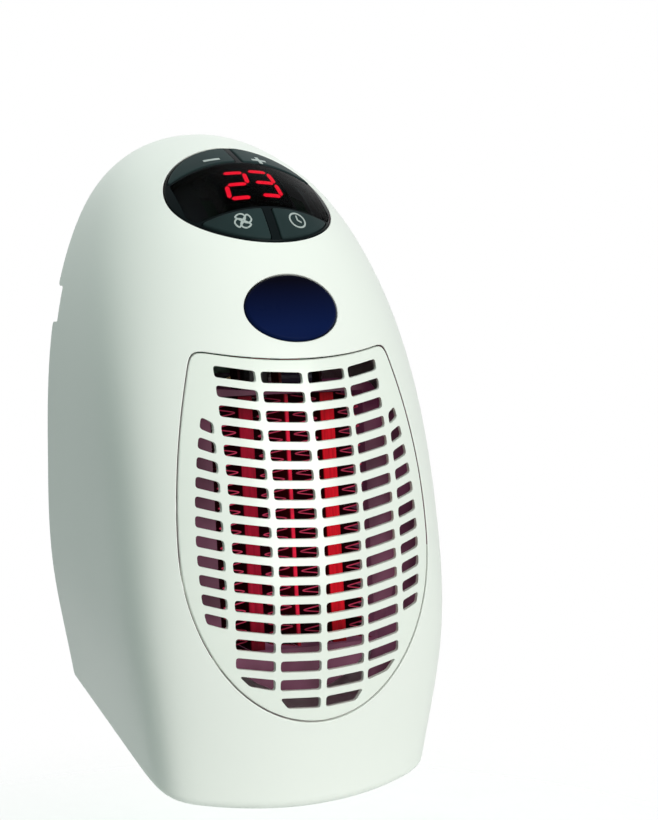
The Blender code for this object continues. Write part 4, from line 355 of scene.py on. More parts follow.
def skin_shaded(target, proud=0.0):
    """Shading normals of every face corner on the skin taken from the skin's own formula."""
    smooth(target, SKIN_SHARP)
    mesh = target.data
    points = np.empty(len(mesh.vertices) * 3)
    mesh.vertices.foreach_get("co", points)
    normals, distance = skin_normals(housing(points.reshape(-1, 3)))
    normals = normals * FORWARD_FLIP
    on_it = np.abs(distance - proud) < ON_SKIN
    vertex = np.empty(len(mesh.loops), dtype=np.int32)
    mesh.loops.foreach_get("vertex_index", vertex)
    corners = np.empty(len(mesh.loops) * 3)
    mesh.corner_normals.foreach_get("vector", corners)
    corners = corners.reshape(-1, 3)
    face_normals = np.empty(len(mesh.polygons) * 3)
    mesh.polygons.foreach_get("normal", face_normals)
    totals = np.empty(len(mesh.polygons), dtype=np.int32)
    mesh.polygons.foreach_get("loop_total", totals)
    face_normals = np.repeat(face_normals.reshape(-1, 3), totals, axis=0)
    facing = np.einsum("ij,ij->i", face_normals, normals[vertex]) > FACING
    chosen = on_it[vertex] & facing
    corners[chosen] = normals[vertex][chosen]
    mesh.normals_split_custom_set(corners.tolist())


print("normals are taken from the skin within %.2f mm of it" % (1000 * ON_SKIN))

# %% [markdown]
# ## Cutters and pads that follow the skin
#
# Rims of moulded parts are rounded. A bevel after the Boolean is fragile on such thin faces, so
# the quarter circle is built into the cutter, and into the edge of each part laid on the skin.

# %% Cutters and pads
QUARTER_STEPS = 4
CUTTER_ABOVE = 0.004
UNDER_RINGS = 6


def flared(outline, plane, rounding, depth, steps=QUARTER_STEPS):
    """Cutter along a plane's normal that opens in a quarter circle where it meets the skin.

    At a depth t below the skin the outline is wider by r - sqrt(r^2 - (r - t)^2).
    """
    widest = drawn_in(outline, -rounding)
    middle = widest.mean(axis=0)
    spokes = middle + np.linspace(0, 1, 7)[:, None, None] * (widest - middle)
    top = lift(plane, spokes[..., 0], spokes[..., 1]).max() + CUTTER_ABOVE
    rings = [from_plane(plane, widest[:, 0], widest[:, 1], top)]
    for turn in np.linspace(0, math.pi / 2, steps + 1):
        ring = drawn_in(outline, -rounding * (1 - math.sin(turn)))
        rings.append(on_skin(plane, ring, -rounding * (1 - math.cos(turn))))
    rings.append(on_skin(plane, outline, -depth))
    return closed_loft(rings)


def underside(outline, middle, plane, thick, start):
    """Rings and a middle point that close a pad below, joined to the pad's first ring."""
    count = len(outline)
    rings = [on_skin(plane, middle + share * (outline - middle), -thick)
             for share in np.linspace(1, 0, UNDER_RINGS + 1)[1:-1]]
    points = np.vstack([*rings, on_skin(plane, middle[None], -thick)])
    faces = [(start + (i + 1) % count, (i + 1) % count, i, start + i)[::-1] for i in range(count)]
    faces += [cell[::-1] for cell in grid_faces(len(rings), count, start=start)]
    last, tip = start + (len(rings) - 1) * count, start + len(points) - 1
    faces += [(last + (i + 1) % count, last + i, tip) for i in range(count)]
    return points, faces


def pad(outline, plane, proud, thick, rounding, rings, steps=QUARTER_STEPS):
    """Closed patch over an outline that follows the skin, its upper edge rounded.

    Ring after ring runs up the side wall, round the quarter circle and in to the middle:
    the point is middle + share * (outline - middle).
    """
    middle = (outline.max(axis=0) + outline.min(axis=0)) / 2
    clouds = [on_skin(plane, outline, -thick)]
    for turn in np.linspace(0, math.pi / 2, steps + 1):
        ring = drawn_in(outline, rounding * (1 - math.cos(turn)))
        clouds.append(on_skin(plane, ring, proud - rounding * (1 - math.sin(turn))))
    inner = drawn_in(outline, rounding)
    for share in np.linspace(1, 0, rings + 1)[1:-1]:
        clouds.append(on_skin(plane, middle + share * (inner - middle), proud))
    points = np.vstack([*clouds, on_skin(plane, middle[None], proud)])
    count = len(outline)
    faces = grid_faces(len(clouds), count)
    last, tip = (len(clouds) - 1) * count, len(points) - 1
    faces += [(last + i, last + (i + 1) % count, tip) for i in range(count)]
    under, cells = underside(outline, middle, plane, thick, len(points))
    return np.vstack([points, under]), faces + cells


trial = pad(oval(0.01, 0.01, 24), LENS, 0.0, 0.001, 0.0002, rings=3)
print("a small pad has", len(trial[0]), "points and", len(trial[1]), "faces")

# %% [markdown]
# ## Turned parts
#
# Screw heads, pins and the plug's body are round. A cylinder would need loops and bevels for
# every shoulder. Here a profile of (radius, forward) pairs is swept round an axis that points
# forward, so that each rounding is written where it is.

# %% Turned parts
def lathe(profile, count, place):
    """Closed body of rings (r cos t, along, r sin t), one for each pair (r, along)."""
    profile = np.asarray(profile, dtype=float)
    turn = np.linspace(0, 2 * math.pi, count, endpoint=False)
    radius, along = profile[:, :1], np.broadcast_to(profile[:, 1:], (len(profile), count))
    rows = np.stack([radius * np.cos(turn), along, radius * np.sin(turn)], -1)
    return closed_loft(rows + np.asarray(place, dtype=float))


print("a turned pin of 12 sides has", len(lathe([(1, 0), (1, 2)], 12, (0, 0, 0))[1]), "faces")

# %% [markdown]
# ## Soft boxes
#
# Small moulded parts and the cutters of square openings are boxes with rounded edges. A cube
# with a Bevel modifier gives the same, but as rings of a soft rectangle the box is a mesh at
# once, and its sizes are its own.

# %% Soft boxes
def rounded_box(low, high, radius):
    """Box whose upright edges and both rims are rounded: rings of a soft rectangle."""
    low, high = np.asarray(low, dtype=float), np.asarray(high, dtype=float)
    half, middle = (high - low) / 2, (high + low) / 2
    turn = np.linspace(0, math.pi / 2, QUARTER_STEPS + 1)
    base = []
    for quarter, (a, b) in enumerate(((1, 1), (-1, 1), (-1, -1), (1, -1))):
        angles = turn + quarter * math.pi / 2
        base.append(np.stack([np.cos(angles), np.sin(angles),
                              np.full(len(angles), a), np.full(len(angles), b)], 1))
    base = np.vstack(base)
    rows = []
    rim = [(math.sin(t), math.cos(t)) for t in turn]
    levels = [(share, -half[2] + radius * (1 - rise)) for share, rise in rim]
    levels += [(share, half[2] - radius * (1 - rise)) for share, rise in rim[::-1]]
    for share, z in levels:
        x = base[:, 2] * (half[0] - radius) + base[:, 0] * radius * share
        y = base[:, 3] * (half[1] - radius) + base[:, 1] * radius * share
        rows.append(np.stack([x, y, np.full(len(base), z)], 1) + middle)
    return closed_loft(rows)


print("a soft box has", len(rounded_box((0, 0, 0), (1, 1, 1), 0.1)[1]), "faces")

# %% [markdown]
# ## Camera
#
# The camera looks at the heater from its left, a little from above, from where the photograph
# was taken. Its lens is given as a focal length in pixels of the picture, which is what a fit to
# a photograph yields, and turned into millimetres of the sensor.

# %% Camera
SENSOR, FOCAL_PIXELS, PICTURE_HEIGHT = 36.0, 2008.8, 820
CAMERA_PLACE = (-0.2287, -0.5546, 0.0431)
AROUND, DOWN = 0.467, 0.109

camera_data = bpy.data.cameras.new("camera")
camera_data.sensor_width = SENSOR
camera_data.lens = FOCAL_PIXELS * SENSOR / PICTURE_HEIGHT
camera_data.clip_start, camera_data.clip_end = 0.01, 20.0
camera = bpy.data.objects.new("camera", camera_data)
camera.location = CAMERA_PLACE
ahead = math.cos(DOWN)
look = Vector((math.sin(AROUND) * ahead, math.cos(AROUND) * ahead, -math.sin(DOWN)))
camera.rotation_mode = "QUATERNION"
camera.rotation_quaternion = look.to_track_quat("-Z", "Y")
bpy.context.scene.collection.objects.link(camera)
bpy.context.scene.camera = camera
bpy.context.scene.view_settings.view_transform = "Standard"
print("lens %.1f mm" % camera_data.lens)

# %% [markdown]
# ## Lamps
#
# A product picture is lit by large soft boxes. A strong one in front gives the shell its light
# front, one above its bright shoulders, and weak ones lift the side and the back. Only two may
# be mirrored in gloss, so that the panel and the lens stay dark.

# %% Lamps
CENTRE = (0.0, -0.055, -0.03)


def lamp(name, place, size, energy, colour=(1.0, 1.0, 1.0), mirrored=True):
    """Soft square lamp at a place, turned to the heater; gloss may be kept from mirroring it."""
    data = bpy.data.lights.new(name, "AREA")
    data.shape, data.size = "SQUARE", size
    data.energy, data.color = energy, colour
    made = bpy.data.objects.new(name, data)
    made.location = place
    made.rotation_mode = "QUATERNION"
    made.rotation_quaternion = (Vector(CENTRE) - Vector(place)).to_track_quat("-Z", "Y")
    made.visible_glossy = mirrored
    bpy.context.scene.collection.objects.link(made)


lamp("key", (0.26, -1.0, 0.20), 0.6, 6.1, (1.0, 0.985, 0.955))
lamp("front_fill", (-0.04, -1.0, 0.20), 0.7, 2.5, (1.0, 0.99, 0.96), mirrored=False)
lamp("left_fill", (-0.95, 0.10, 0.45), 0.6, 0.08)
lamp("top", (-0.20, -0.04, 0.85), 0.5, 3.9, (0.96, 1.0, 0.97), mirrored=False)
lamp("back", (0.3, 0.9, 0.5), 0.8, 3.2, mirrored=False)
print(len(bpy.data.lights), "lamps")

# %% [markdown]
# ## Surround
#
# The background is white only for what the camera sees directly, in gloss or through clear
# plastic. All other rays meet a soft pale green, as walls near the heater would send back.

# %% Surround
SURROUND_GREEN, SURROUND_STRENGTH = (0.60, 0.98, 0.86, 1), 0.17


def maths(tree, operation, *values):
    """Output of a Math node of two or three values, each a socket or a number."""
    made = tree.nodes.new("ShaderNodeMath")
    made.operation = operation
    for value, socket in zip(values, made.inputs):
        if isinstance(value, bpy.types.NodeSocket):
            tree.links.new(value, socket)
        else:
            socket.default_value = value
    return made.outputs[0]


def directly_seen(tree):
    """The larger of three: one for camera, glossy and transmitted rays, zero for all others."""
    path = tree.nodes.new("ShaderNodeLightPath")
    most = path.outputs["Is Camera Ray"]
    for name in ("Is Glossy Ray", "Is Transmission Ray"):
        most = maths(tree, "MAXIMUM", most, path.outputs[name])
    return most


def surround():
    """White for what is seen directly or mirrored, soft pale green light for everything else."""
    made = bpy.data.worlds.new("surround")
    made.use_nodes = True
    tree = made.node_tree
    tree.nodes.clear()
    out = tree.nodes.new("ShaderNodeOutputWorld")
    mix = tree.nodes.new("ShaderNodeMixShader")
    soft, white = tree.nodes.new("ShaderNodeBackground"), tree.nodes.new("ShaderNodeBackground")
    soft.inputs["Color"].default_value = SURROUND_GREEN
    soft.inputs["Strength"].default_value = SURROUND_STRENGTH
    white.inputs["Color"].default_value = (1, 1, 1, 1)
    tree.links.new(directly_seen(tree), mix.inputs[0])
    tree.links.new(soft.outputs[0], mix.inputs[1])
    tree.links.new(white.outputs[0], mix.inputs[2])
    tree.links.new(mix.outputs[0], out.inputs["Surface"])
    bpy.context.scene.world = made


surround()
print("surround strength", SURROUND_STRENGTH)

# %% [markdown]
# ## Floor
#
# The heater hangs above a plain pale floor that only has to catch its shadow. A large plane
# would show an edge against the white, so it is a disc whose alpha fades out with the distance.

# %% Floor
FLOOR_HEIGHT = -0.170
FLOOR_REACH = 0.26
FLOOR_MIDDLE = (0.0, -0.06)
FADE_START, FADE_END = 0.08, FLOOR_REACH - 0.01
FLOOR_LIFT = 0.35
FLOOR_DARK, FLOOR_PALE = (0.80, 0.80, 0.79, 1), (0.86, 0.86, 0.85, 1)


def carried(tree, source, start, end, low=0.0, high=1.0):
    """A value carried from start..end to low..high and held at its ends; returns the node."""
    made = tree.nodes.new("ShaderNodeMapRange")
    made.inputs["From Min"].default_value, made.inputs["From Max"].default_value = start, end
    made.inputs["To Min"].default_value, made.inputs["To Max"].default_value = low, high
    tree.links.new(source, made.inputs["Value"])
    return made


def floor_material():
    """Pale matt floor, lifted to white for what is seen directly, that fades out with distance."""
    made = bpy.data.materials.new("floor")
    made.use_nodes = True
    tree = made.node_tree
    shader = tree.nodes["Principled BSDF"]
    place = tree.nodes.new("ShaderNodeTexCoord")
    centred = tree.nodes.new("ShaderNodeMapping")
    centred.inputs["Location"].default_value = (-FLOOR_MIDDLE[0], -FLOOR_MIDDLE[1], -FLOOR_HEIGHT)
    tree.links.new(place.outputs["Object"], centred.inputs["Vector"])
    far = tree.nodes.new("ShaderNodeVectorMath")
    far.operation = "LENGTH"
    tree.links.new(centred.outputs["Vector"], far.inputs[0])
    fade = carried(tree, far.outputs["Value"], FADE_START, FADE_END, 1.0, 0.0)
    fade.interpolation_type = "SMOOTHSTEP"
    tree.links.new(fade.outputs["Result"], shader.inputs["Alpha"])
    grain = tree.nodes.new("ShaderNodeTexNoise")
    grain.inputs["Scale"].default_value = 60.0
    tree.links.new(place.outputs["Object"], grain.inputs["Vector"])
    pale = tree.nodes.new("ShaderNodeValToRGB")
    pale.color_ramp.elements[0].color = FLOOR_DARK
    pale.color_ramp.elements[1].color = FLOOR_PALE
    tree.links.new(grain.outputs["Fac"], pale.inputs["Fac"])
    tree.links.new(pale.outputs["Color"], shader.inputs["Base Color"])
    seen = maths(tree, "MULTIPLY", directly_seen(tree), FLOOR_LIFT)
    tree.links.new(seen, shader.inputs["Emission Strength"])
    shader.inputs["Emission Color"].default_value = (1, 1, 1, 1)
    shader.inputs["Roughness"].default_value = 0.8
    return made


def make_floor():
    """Disc of rings round a middle point: (r cos t, r sin t)."""
    turn = np.linspace(0, 2 * math.pi, 96, endpoint=False)
    radius = np.linspace(0, FLOOR_REACH, 14)[1:, None]
    rings = np.stack([
        FLOOR_MIDDLE[0] + radius * np.cos(turn),
        FLOOR_MIDDLE[1] + radius * np.sin(turn),
        np.full((len(radius), len(turn)), FLOOR_HEIGHT),
    ], -1)
    points = np.vstack([rings.reshape(-1, 3), [[*FLOOR_MIDDLE, FLOOR_HEIGHT]]])
    faces = [cell[::-1] for cell in grid_faces(len(radius), len(turn))]
    faces += [(i, (i + 1) % len(turn), len(points) - 1) for i in range(len(turn))]
    mesh = bpy.data.meshes.new("floor")
    mesh.from_pydata(points.tolist(), [], faces)
    mesh.materials.append(floor_material())
    made = bpy.data.objects.new("floor", mesh)
    bpy.context.scene.collection.objects.link(made)


make_floor()
print("floor of radius", FLOOR_REACH, "m")

# %% [markdown]
# ## Noise and colour
#
# No moulded or worked surface is quite even. A picture texture could carry that, but it would
# have to be laid out on every piece. Here colour, gloss and relief are driven by noise in the
# object's own coordinates, in features per metre, so that one recipe fits every piece.

# %% Noise and colour
NOISE_LOW, NOISE_HIGH = 0.3, 0.7


def new_material(name):
    """Material with an empty Principled shader; returns the material, its tree and the shader."""
    made = bpy.data.materials.new(name)
    made.use_nodes = True
    return made, made.node_tree, made.node_tree.nodes["Principled BSDF"]


def noise(tree, scale, detail=3.0, stretch=(1.0, 1.0, 1.0)):
    """Noise in object coordinates, its scale given in features per metre."""
    place = tree.nodes.new("ShaderNodeTexCoord")
    mapping = tree.nodes.new("ShaderNodeMapping")
    mapping.inputs["Scale"].default_value = stretch
    made = tree.nodes.new("ShaderNodeTexNoise")
    made.inputs["Scale"].default_value = scale
    made.inputs["Detail"].default_value = detail
    tree.links.new(place.outputs["Object"], mapping.inputs["Vector"])
    tree.links.new(mapping.outputs["Vector"], made.inputs["Vector"])
    return made.outputs["Fac"]


def ramp(tree, source, low, high, start=NOISE_LOW, end=NOISE_HIGH):
    """Two colours mixed by a value between start and end."""
    made = tree.nodes.new("ShaderNodeValToRGB")
    made.color_ramp.elements[0].position, made.color_ramp.elements[1].position = start, end
    made.color_ramp.elements[0].color = (*low, 1)
    made.color_ramp.elements[1].color = (*high, 1)
    tree.links.new(source, made.inputs["Fac"])
    return made.outputs["Color"]


def spread(tree, source, low, high):
    """Noise, which mostly stays between 0.3 and 0.7, carried to low..high."""
    return carried(tree, source, NOISE_LOW, NOISE_HIGH, low, high).outputs["Result"]


def uneven(tree, shader, scale, low, high):
    """Roughness that wanders between two values."""
    tree.links.new(spread(tree, noise(tree, scale), low, high), shader.inputs["Roughness"])


def bumped(tree, shader, source, distance, strength=1.0):
    """Surface relief of a height in metres."""
    made = tree.nodes.new("ShaderNodeBump")
    made.inputs["Distance"].default_value = distance
    made.inputs["Strength"].default_value = strength
    tree.links.new(source, made.inputs["Height"])
    tree.links.new(made.outputs["Normal"], shader.inputs["Normal"])


def shade(colour, factor):
    """Colour made lighter or darker."""
    return tuple(min(1.0, channel * factor) for channel in colour)


def painted(target, *materials):
    """Give an object its materials in place of what it had."""
    target.data.materials.clear()
    for material in materials:
        target.data.materials.append(material)


print("half of a pale grey:", shade((0.8, 0.8, 0.8), 0.5))

# %% [markdown]
# ## Plastic and metal
#
# Nearly all of the heater is moulded plastic: slow drift of colour from the melt, a fine grain
# from the mould, gloss that wanders a little. Metal parts are drawn or ground, so that their
# noise is stretched along one axis. Both are plain Principled shaders, which any viewer knows.

# %% Plastic and metal
def plastic(name, colour, rough=0.3, drift=0.05, grain=2500.0, relief=4e-6, gloss=0.5, coat=0.0):
    """Moulded plastic: slow colour drift, uneven gloss and a fine moulded grain."""
    made, tree, shader = new_material(name)
    slow = ramp(tree, noise(tree, 30.0), shade(colour, 1 - drift), shade(colour, 1 + drift))
    tree.links.new(slow, shader.inputs["Base Color"])
    uneven(tree, shader, 40.0, rough * 0.96, rough * 1.05)
    bumped(tree, shader, noise(tree, grain, 2.0), relief)
    shader.inputs["Specular IOR Level"].default_value = gloss
    shader.inputs["Coat Weight"].default_value = coat
    shader.inputs["Coat Roughness"].default_value = 0.12
    return made


def metal(name, colour, rough=0.3, stretch=(1.0, 1.0, 12.0), scale=700.0, relief=6e-6):
    """Metal with brushed streaks: noise stretched along one axis."""
    made, tree, shader = new_material(name)
    streaks = noise(tree, scale, 4.0, stretch)
    tree.links.new(ramp(tree, streaks, shade(colour, 0.82), shade(colour, 1.08)),
                   shader.inputs["Base Color"])
    tree.links.new(spread(tree, streaks, rough * 0.75, rough * 1.3), shader.inputs["Roughness"])
    bumped(tree, shader, streaks, relief, 0.5)
    shader.inputs["Metallic"].default_value = 1.0
    return made


SHELL_WHITE = plastic("shell_white", (0.830, 0.850, 0.812), 0.34, 0.006, 1800.0, 1e-6)
GRILLE_WHITE = plastic("grille_white", (0.805, 0.838, 0.785), 0.26, 0.006, 2400.0, 1e-6, coat=0.2)
COVER_WHITE = plastic("cover_white", (0.79, 0.80, 0.76), 0.42, 0.015, 2600.0, 4e-6)
PANEL_BLACK = plastic("panel_black", (0.004, 0.007, 0.008), 0.16, 0.2, 900.0, 5e-7, 0.03)
KEY_GREY = plastic("key_grey", (0.017, 0.030, 0.031), 0.45, 0.35, 1500.0, 1.2e-5, 0.05)
MARK_GREY = plastic("mark_grey", (0.38, 0.43, 0.42), 0.4, 0.08)
MODULE_BLACK = plastic("module_black", (0.004, 0.006, 0.007), 0.6, 0.2, 1500.0, 4e-6, 0.03)
RESIN_BLACK = plastic("resin_black", (0.016, 0.016, 0.017), 0.42, 0.2)
SWITCH_BLACK = plastic("switch_black", (0.014, 0.014, 0.015), 0.25, 0.2)
BOARD_GREEN = plastic("board_green", (0.02, 0.13, 0.05), 0.30, 0.15)
RELAY_BLUE = plastic("relay_blue", (0.03, 0.10, 0.35), 0.35, 0.08)
FILM_RED = plastic("film_red", (0.42, 0.04, 0.03), 0.30, 0.1)
TAPE_YELLOW = plastic("tape_yellow", (0.65, 0.48, 0.06), 0.4, 0.1)
SLEEVE_BLACK = plastic("sleeve_black", (0.02, 0.02, 0.035), 0.25, 0.2)
RUBBER_GREY = plastic("rubber_grey", (0.10, 0.10, 0.10), 0.65, 0.1)
STEEL = metal("steel", (0.55, 0.55, 0.56), 0.32)
ZINC = metal("zinc", (0.62, 0.62, 0.60), 0.30)
NICKEL = metal("nickel", (0.66, 0.63, 0.58), 0.18, (1.0, 10.0, 1.0))
BRASS = metal("brass", (0.72, 0.52, 0.22), 0.28)
print(len(bpy.data.materials), "materials so far")

# %% [markdown]
# ## Parts that glow
#
# The heater's bars and fins are red hot at their front edges, and only those edges show through
# the slots. Small lamps inside would light the whole shell. Here the material itself gives the
# light: most at the core's leaning front, less behind it, and less towards the two ends, where
# the core stays cooler.

# %% Parts that glow
CORE_MIDDLE = 0.0740
CORE_FRONT = 0.0618
CORE_DEPTH = 0.0115
CORE_SLOPE = math.tan(math.radians(7))
CORE_FACE = -REAR_PLANE - CORE_FRONT - CORE_SLOPE * (CORE_MIDDLE - PLUG_HEIGHT)
GLOW_LOW, GLOW_HIGH = -0.0800, -0.0085
GLOW_TRACE = 0.015
# Each stop: a share of the height, and how much of the glow is left there.
GLOW_STOPS = ((0.1, 0.45), (0.2, 1.0), (0.85, 0.9))


def axes_of(tree):
    """The three coordinates of a place in the shared frame, as sockets."""
    place = tree.nodes.new("ShaderNodeTexCoord")
    split = tree.nodes.new("ShaderNodeSeparateXYZ")
    tree.links.new(place.outputs["Object"], split.inputs[0])
    return split.outputs


def height_share(tree, low, high):
    """Height in the shared frame carried from low..high to 0..1."""
    return carried(tree, axes_of(tree)["Z"], low, high).outputs["Result"]


def nearness(tree, reach):
    """One at the core's front and a trace at a reach behind it: Y - slope * Z - CORE_FACE."""
    axes = axes_of(tree)
    upright = maths(tree, "MULTIPLY_ADD", axes["Z"], -CORE_SLOPE, axes["Y"])
    return carried(tree, upright, CORE_FACE, CORE_FACE + reach, 1.0, GLOW_TRACE).outputs["Result"]


def cooler_ends(tree):
    """Share of the glow at a height, from a ramp that is black at both ends of the core."""
    ends = tree.nodes.new("ShaderNodeValToRGB")
    for element, position in zip(ends.color_ramp.elements, (0.0, 1.0)):
        element.position, element.color = position, (0, 0, 0, 1)
    for position, level in GLOW_STOPS:
        ends.color_ramp.elements.new(position).color = (level, level, level, 1)
    tree.links.new(height_share(tree, GLOW_LOW, GLOW_HIGH), ends.inputs["Fac"])
    return ends.outputs["Color"]


def glowing(name, dark, hot, strength, reach, streaks=(1.0, 1.0, 1.0)):
    """Hot metal behind the grille: its light is strength * nearness * share of its height."""
    made, tree, shader = new_material(name)
    glow = maths(tree, "MULTIPLY", nearness(tree, reach), cooler_ends(tree))
    tree.links.new(maths(tree, "MULTIPLY", glow, strength), shader.inputs["Emission Strength"])
    tree.links.new(ramp(tree, noise(tree, 500.0, 3.0, streaks), shade(hot, 0.6), hot),
                   shader.inputs["Emission Color"])
    tree.links.new(ramp(tree, noise(tree, 900.0), shade(dark, 0.6), dark),
                   shader.inputs["Base Color"])
    uneven(tree, shader, 400.0, 0.45, 0.7)
    shader.inputs["Specular IOR Level"].default_value = 0.02
    return made


def lit(name, colour, strength):
    """Evenly lit diffuser with a faint grain."""
    made, tree, shader = new_material(name)
    grain = noise(tree, 1500.0)
    tree.links.new(ramp(tree, grain, shade(colour, 0.9), colour), shader.inputs["Emission Color"])
    tree.links.new(ramp(tree, grain, shade(colour, 0.5), shade(colour, 0.6)),
                   shader.inputs["Base Color"])
    shader.inputs["Emission Strength"].default_value = strength
    return made


DIGIT_RED = lit("digit_red", (1.0, 0.006, 0.025), 5.6)
print("the core's front stands %.1f mm ahead of the rear plane" % (1000 * CORE_FRONT))

# %% [markdown]
# ## Painted glow, tinted and clear plastic
#
# The shell's inside is white, but the core's light makes it mauve, more so at the foot. Bounced
# light alone stays noisy, so that light is painted on as a mauve colour and glow, and it fades
# out before the white rear rim. The lens is drawn dark blue, darker towards its top. The window
# is clear plastic with smoke in it: its index is kept low, because a mirrored white surround would
# hide the digits.

# %% Painted glow, tinted and clear plastic
RIM_WHITE = (0.70, 0.71, 0.68)
GLOW_PAINT_START, GLOW_PAINT_END = -REAR_PLANE - 0.004, -REAR_PLANE - 0.010
GLOW_PAINT_LOW, GLOW_PAINT_HIGH = -0.095, -0.010
WINDOW_IOR, WINDOW_GLOSS = 1.05, 0.1


def graded(name, low, high, bottom, top, rough, gloss):
    """Plastic whose colour changes with the height, with a faint unevenness."""
    made, tree, shader = new_material(name)
    tree.links.new(ramp(tree, height_share(tree, bottom, top), low, high, 0.0, 1.0),
                   shader.inputs["Base Color"])
    uneven(tree, shader, 200.0, rough * 0.9, rough * 1.1)
    shader.inputs["Specular IOR Level"].default_value = gloss
    return made


def with_painted_glow(name, colour, low, high):
    """White plastic inside the housing, with the core's red light painted on as mauve and glow.

    The glow comes in from 4 mm to 10 mm ahead of the rear plane, so the rear rim stays white.
    """
    made, tree, shader = new_material(name)
    near = carried(tree, axes_of(tree)["Y"], GLOW_PAINT_START, GLOW_PAINT_END).outputs["Result"]
    height = height_share(tree, GLOW_PAINT_LOW, GLOW_PAINT_HIGH)
    tree.links.new(ramp(tree, height, low, high, 0.0, 1.0), shader.inputs["Emission Color"])
    power = maths(tree, "MULTIPLY", spread(tree, noise(tree, 70.0, 2.0), 0.30, 1.35), near)
    tree.links.new(power, shader.inputs["Emission Strength"])
    tree.links.new(ramp(tree, near, RIM_WHITE, colour, 0.0, 1.0), shader.inputs["Base Color"])
    uneven(tree, shader, 60.0, 0.4, 0.55)
    shader.inputs["Specular IOR Level"].default_value = 0.2
    return made


def smoked(name, colour, rough):
    """Smoked clear plastic: tinted glass with slightly uneven gloss."""
    made, tree, shader = new_material(name)
    tree.links.new(ramp(tree, noise(tree, 60.0), shade(colour, 0.9), colour),
                   shader.inputs["Base Color"])
    uneven(tree, shader, 300.0, rough * 0.8, rough * 1.4)
    shader.inputs["Transmission Weight"].default_value = 1.0
    shader.inputs["IOR"].default_value = WINDOW_IOR
    shader.inputs["Specular IOR Level"].default_value = WINDOW_GLOSS
    return made


# Painted light: the core's red glow on the white inside, given as mauve colour and emission.
PAINTED_INNER_GLOW = with_painted_glow("painted_inner_glow", (0.07, 0.022, 0.038), (0.092, 0.032, 0.056),
                     (0.034, 0.006, 0.017))
# Drawn darker towards the top of the lens and bluer towards its foot.
LENS_BLUE = graded("lens_blue", (0.003, 0.009, 0.052), (0.0015, 0.0015, 0.006),
                   0.0075, 0.0195, 0.3, 0.02)
SMOKED = smoked("smoked_window", (0.16, 0.19, 0.20), 0.07)
print(len(bpy.data.materials), "materials")

# %% [markdown]
# ## Rows of the shell
#
# The moulded shell is a sheet of 2.2 mm with a rounded edge at its foot. A Solidify modifier
# would thicken it, but not evenly where a section turns sharply. So the outside is a fine grid
# of sections, and the inside is such a grid moved in along the skin's own normals by the wall.

# %% Rows of the shell
SECTION_STEPS, SIDE_POINTS, FRONT_POINTS = 150, 160, 320
TURN_WEIGHT = 0.012
LAST_MARK = 0.012
REAR_OVERRUN = 0.004


def section(level):
    """Points (across, forward) of one section, shared out by length plus weighted turning."""
    wide, deep, power, fall = shape_at(level)
    corner = 0.5 ** (1 / power)
    side = np.linspace(0, corner, SIDE_POINTS)
    front = np.linspace(corner, -corner, FRONT_POINTS)[1:-1]
    flank = (1 - side ** power) ** (1 / power)
    share = np.concatenate([flank, front, -flank[::-1]])
    depth = np.concatenate([side, (1 - np.abs(front) ** power) ** (1 / power), side[::-1]])
    across, forward = wide * share, deep * depth * (1 - fall * share ** 2)
    dx, dy = np.diff(across), np.diff(forward)
    turn = np.abs(np.diff(np.unwrap(np.arctan2(dy, dx)), prepend=math.pi / 2))
    measure = np.concatenate([[0.0], np.cumsum(np.hypot(dx, dy) + TURN_WEIGHT * turn)])
    wanted = np.linspace(0, measure[-1], SECTION_STEPS + 1)
    return np.interp(wanted, measure, across), np.interp(wanted, measure, forward)


def skin_row(level, inset=0.0):
    """One row of skin points, drawn in at the foot's rounded edge."""
    across, forward = section(level)
    wide, deep, _, _ = shape_at(level)
    height = level * BODY_HEIGHT + FOOT_RISE * (1 - forward / DEPTHS[-1]) * (1 - level)
    return np.stack([across * (1 - inset / wide), forward * (1 - inset / deep), height], 1)


def skin_rows(first, count=110):
    """Rows from a first level to just under the top, closer together towards the top."""
    marks = np.linspace(math.sqrt(1 - first), LAST_MARK, count)
    return np.array([skin_row(1 - mark ** 2) for mark in marks])


def outer_rows():
    """Rounded foot edge, r(1 - cos t) high and r(1 - sin t) in, then the whole skin."""
    turns = np.linspace(0, math.pi / 2, 7)
    rises = FOOT_ROUND * (1 - np.cos(turns))
    insets = FOOT_ROUND * (1 - np.sin(turns))
    foot = [skin_row(rise / BODY_HEIGHT, inset) for rise, inset in zip(rises[:-1], insets[:-1])]
    rows = np.concatenate([foot, skin_rows(rises[-1] / BODY_HEIGHT)])
    top = np.tile([0.0, 0.0, BODY_HEIGHT], (1, rows.shape[1], 1))
    return np.concatenate([rows, top])


def inner_rows():
    """The skin moved in by the wall and carried out past the rear plane."""
    rows = skin_rows(WALL / BODY_HEIGHT, 70)
    normals, _ = skin_normals(rows.reshape(-1, 3))
    normals = normals.reshape(rows.shape)
    normals[0, :, 2] = 0.0
    normals[:, [0, -1], 1] = 0.0
    rows = rows - WALL * normals
    top = np.tile([0.0, 0.0, BODY_HEIGHT - WALL], (1, rows.shape[1], 1))
    rows = np.concatenate([rows, top])
    ends = rows[:, [0, -1]] - np.array([0.0, REAR_OVERRUN, 0.0])
    return np.concatenate([ends[:, :1], rows, ends[:, 1:]], axis=1)


print("outside: %d rows of %d points" % outer_rows().shape[:2])

# %% [markdown]
# ## Openings of the shell
#
# The grille's opening has a round foot, sides that lean in and a top edge that dips under the
# lens. Beside it are an oval each for the panel and the lens, a notch in the rear rim at each
# side and a square hole for the main switch. Each outline is written once, and the piece that
# fills it uses it again.

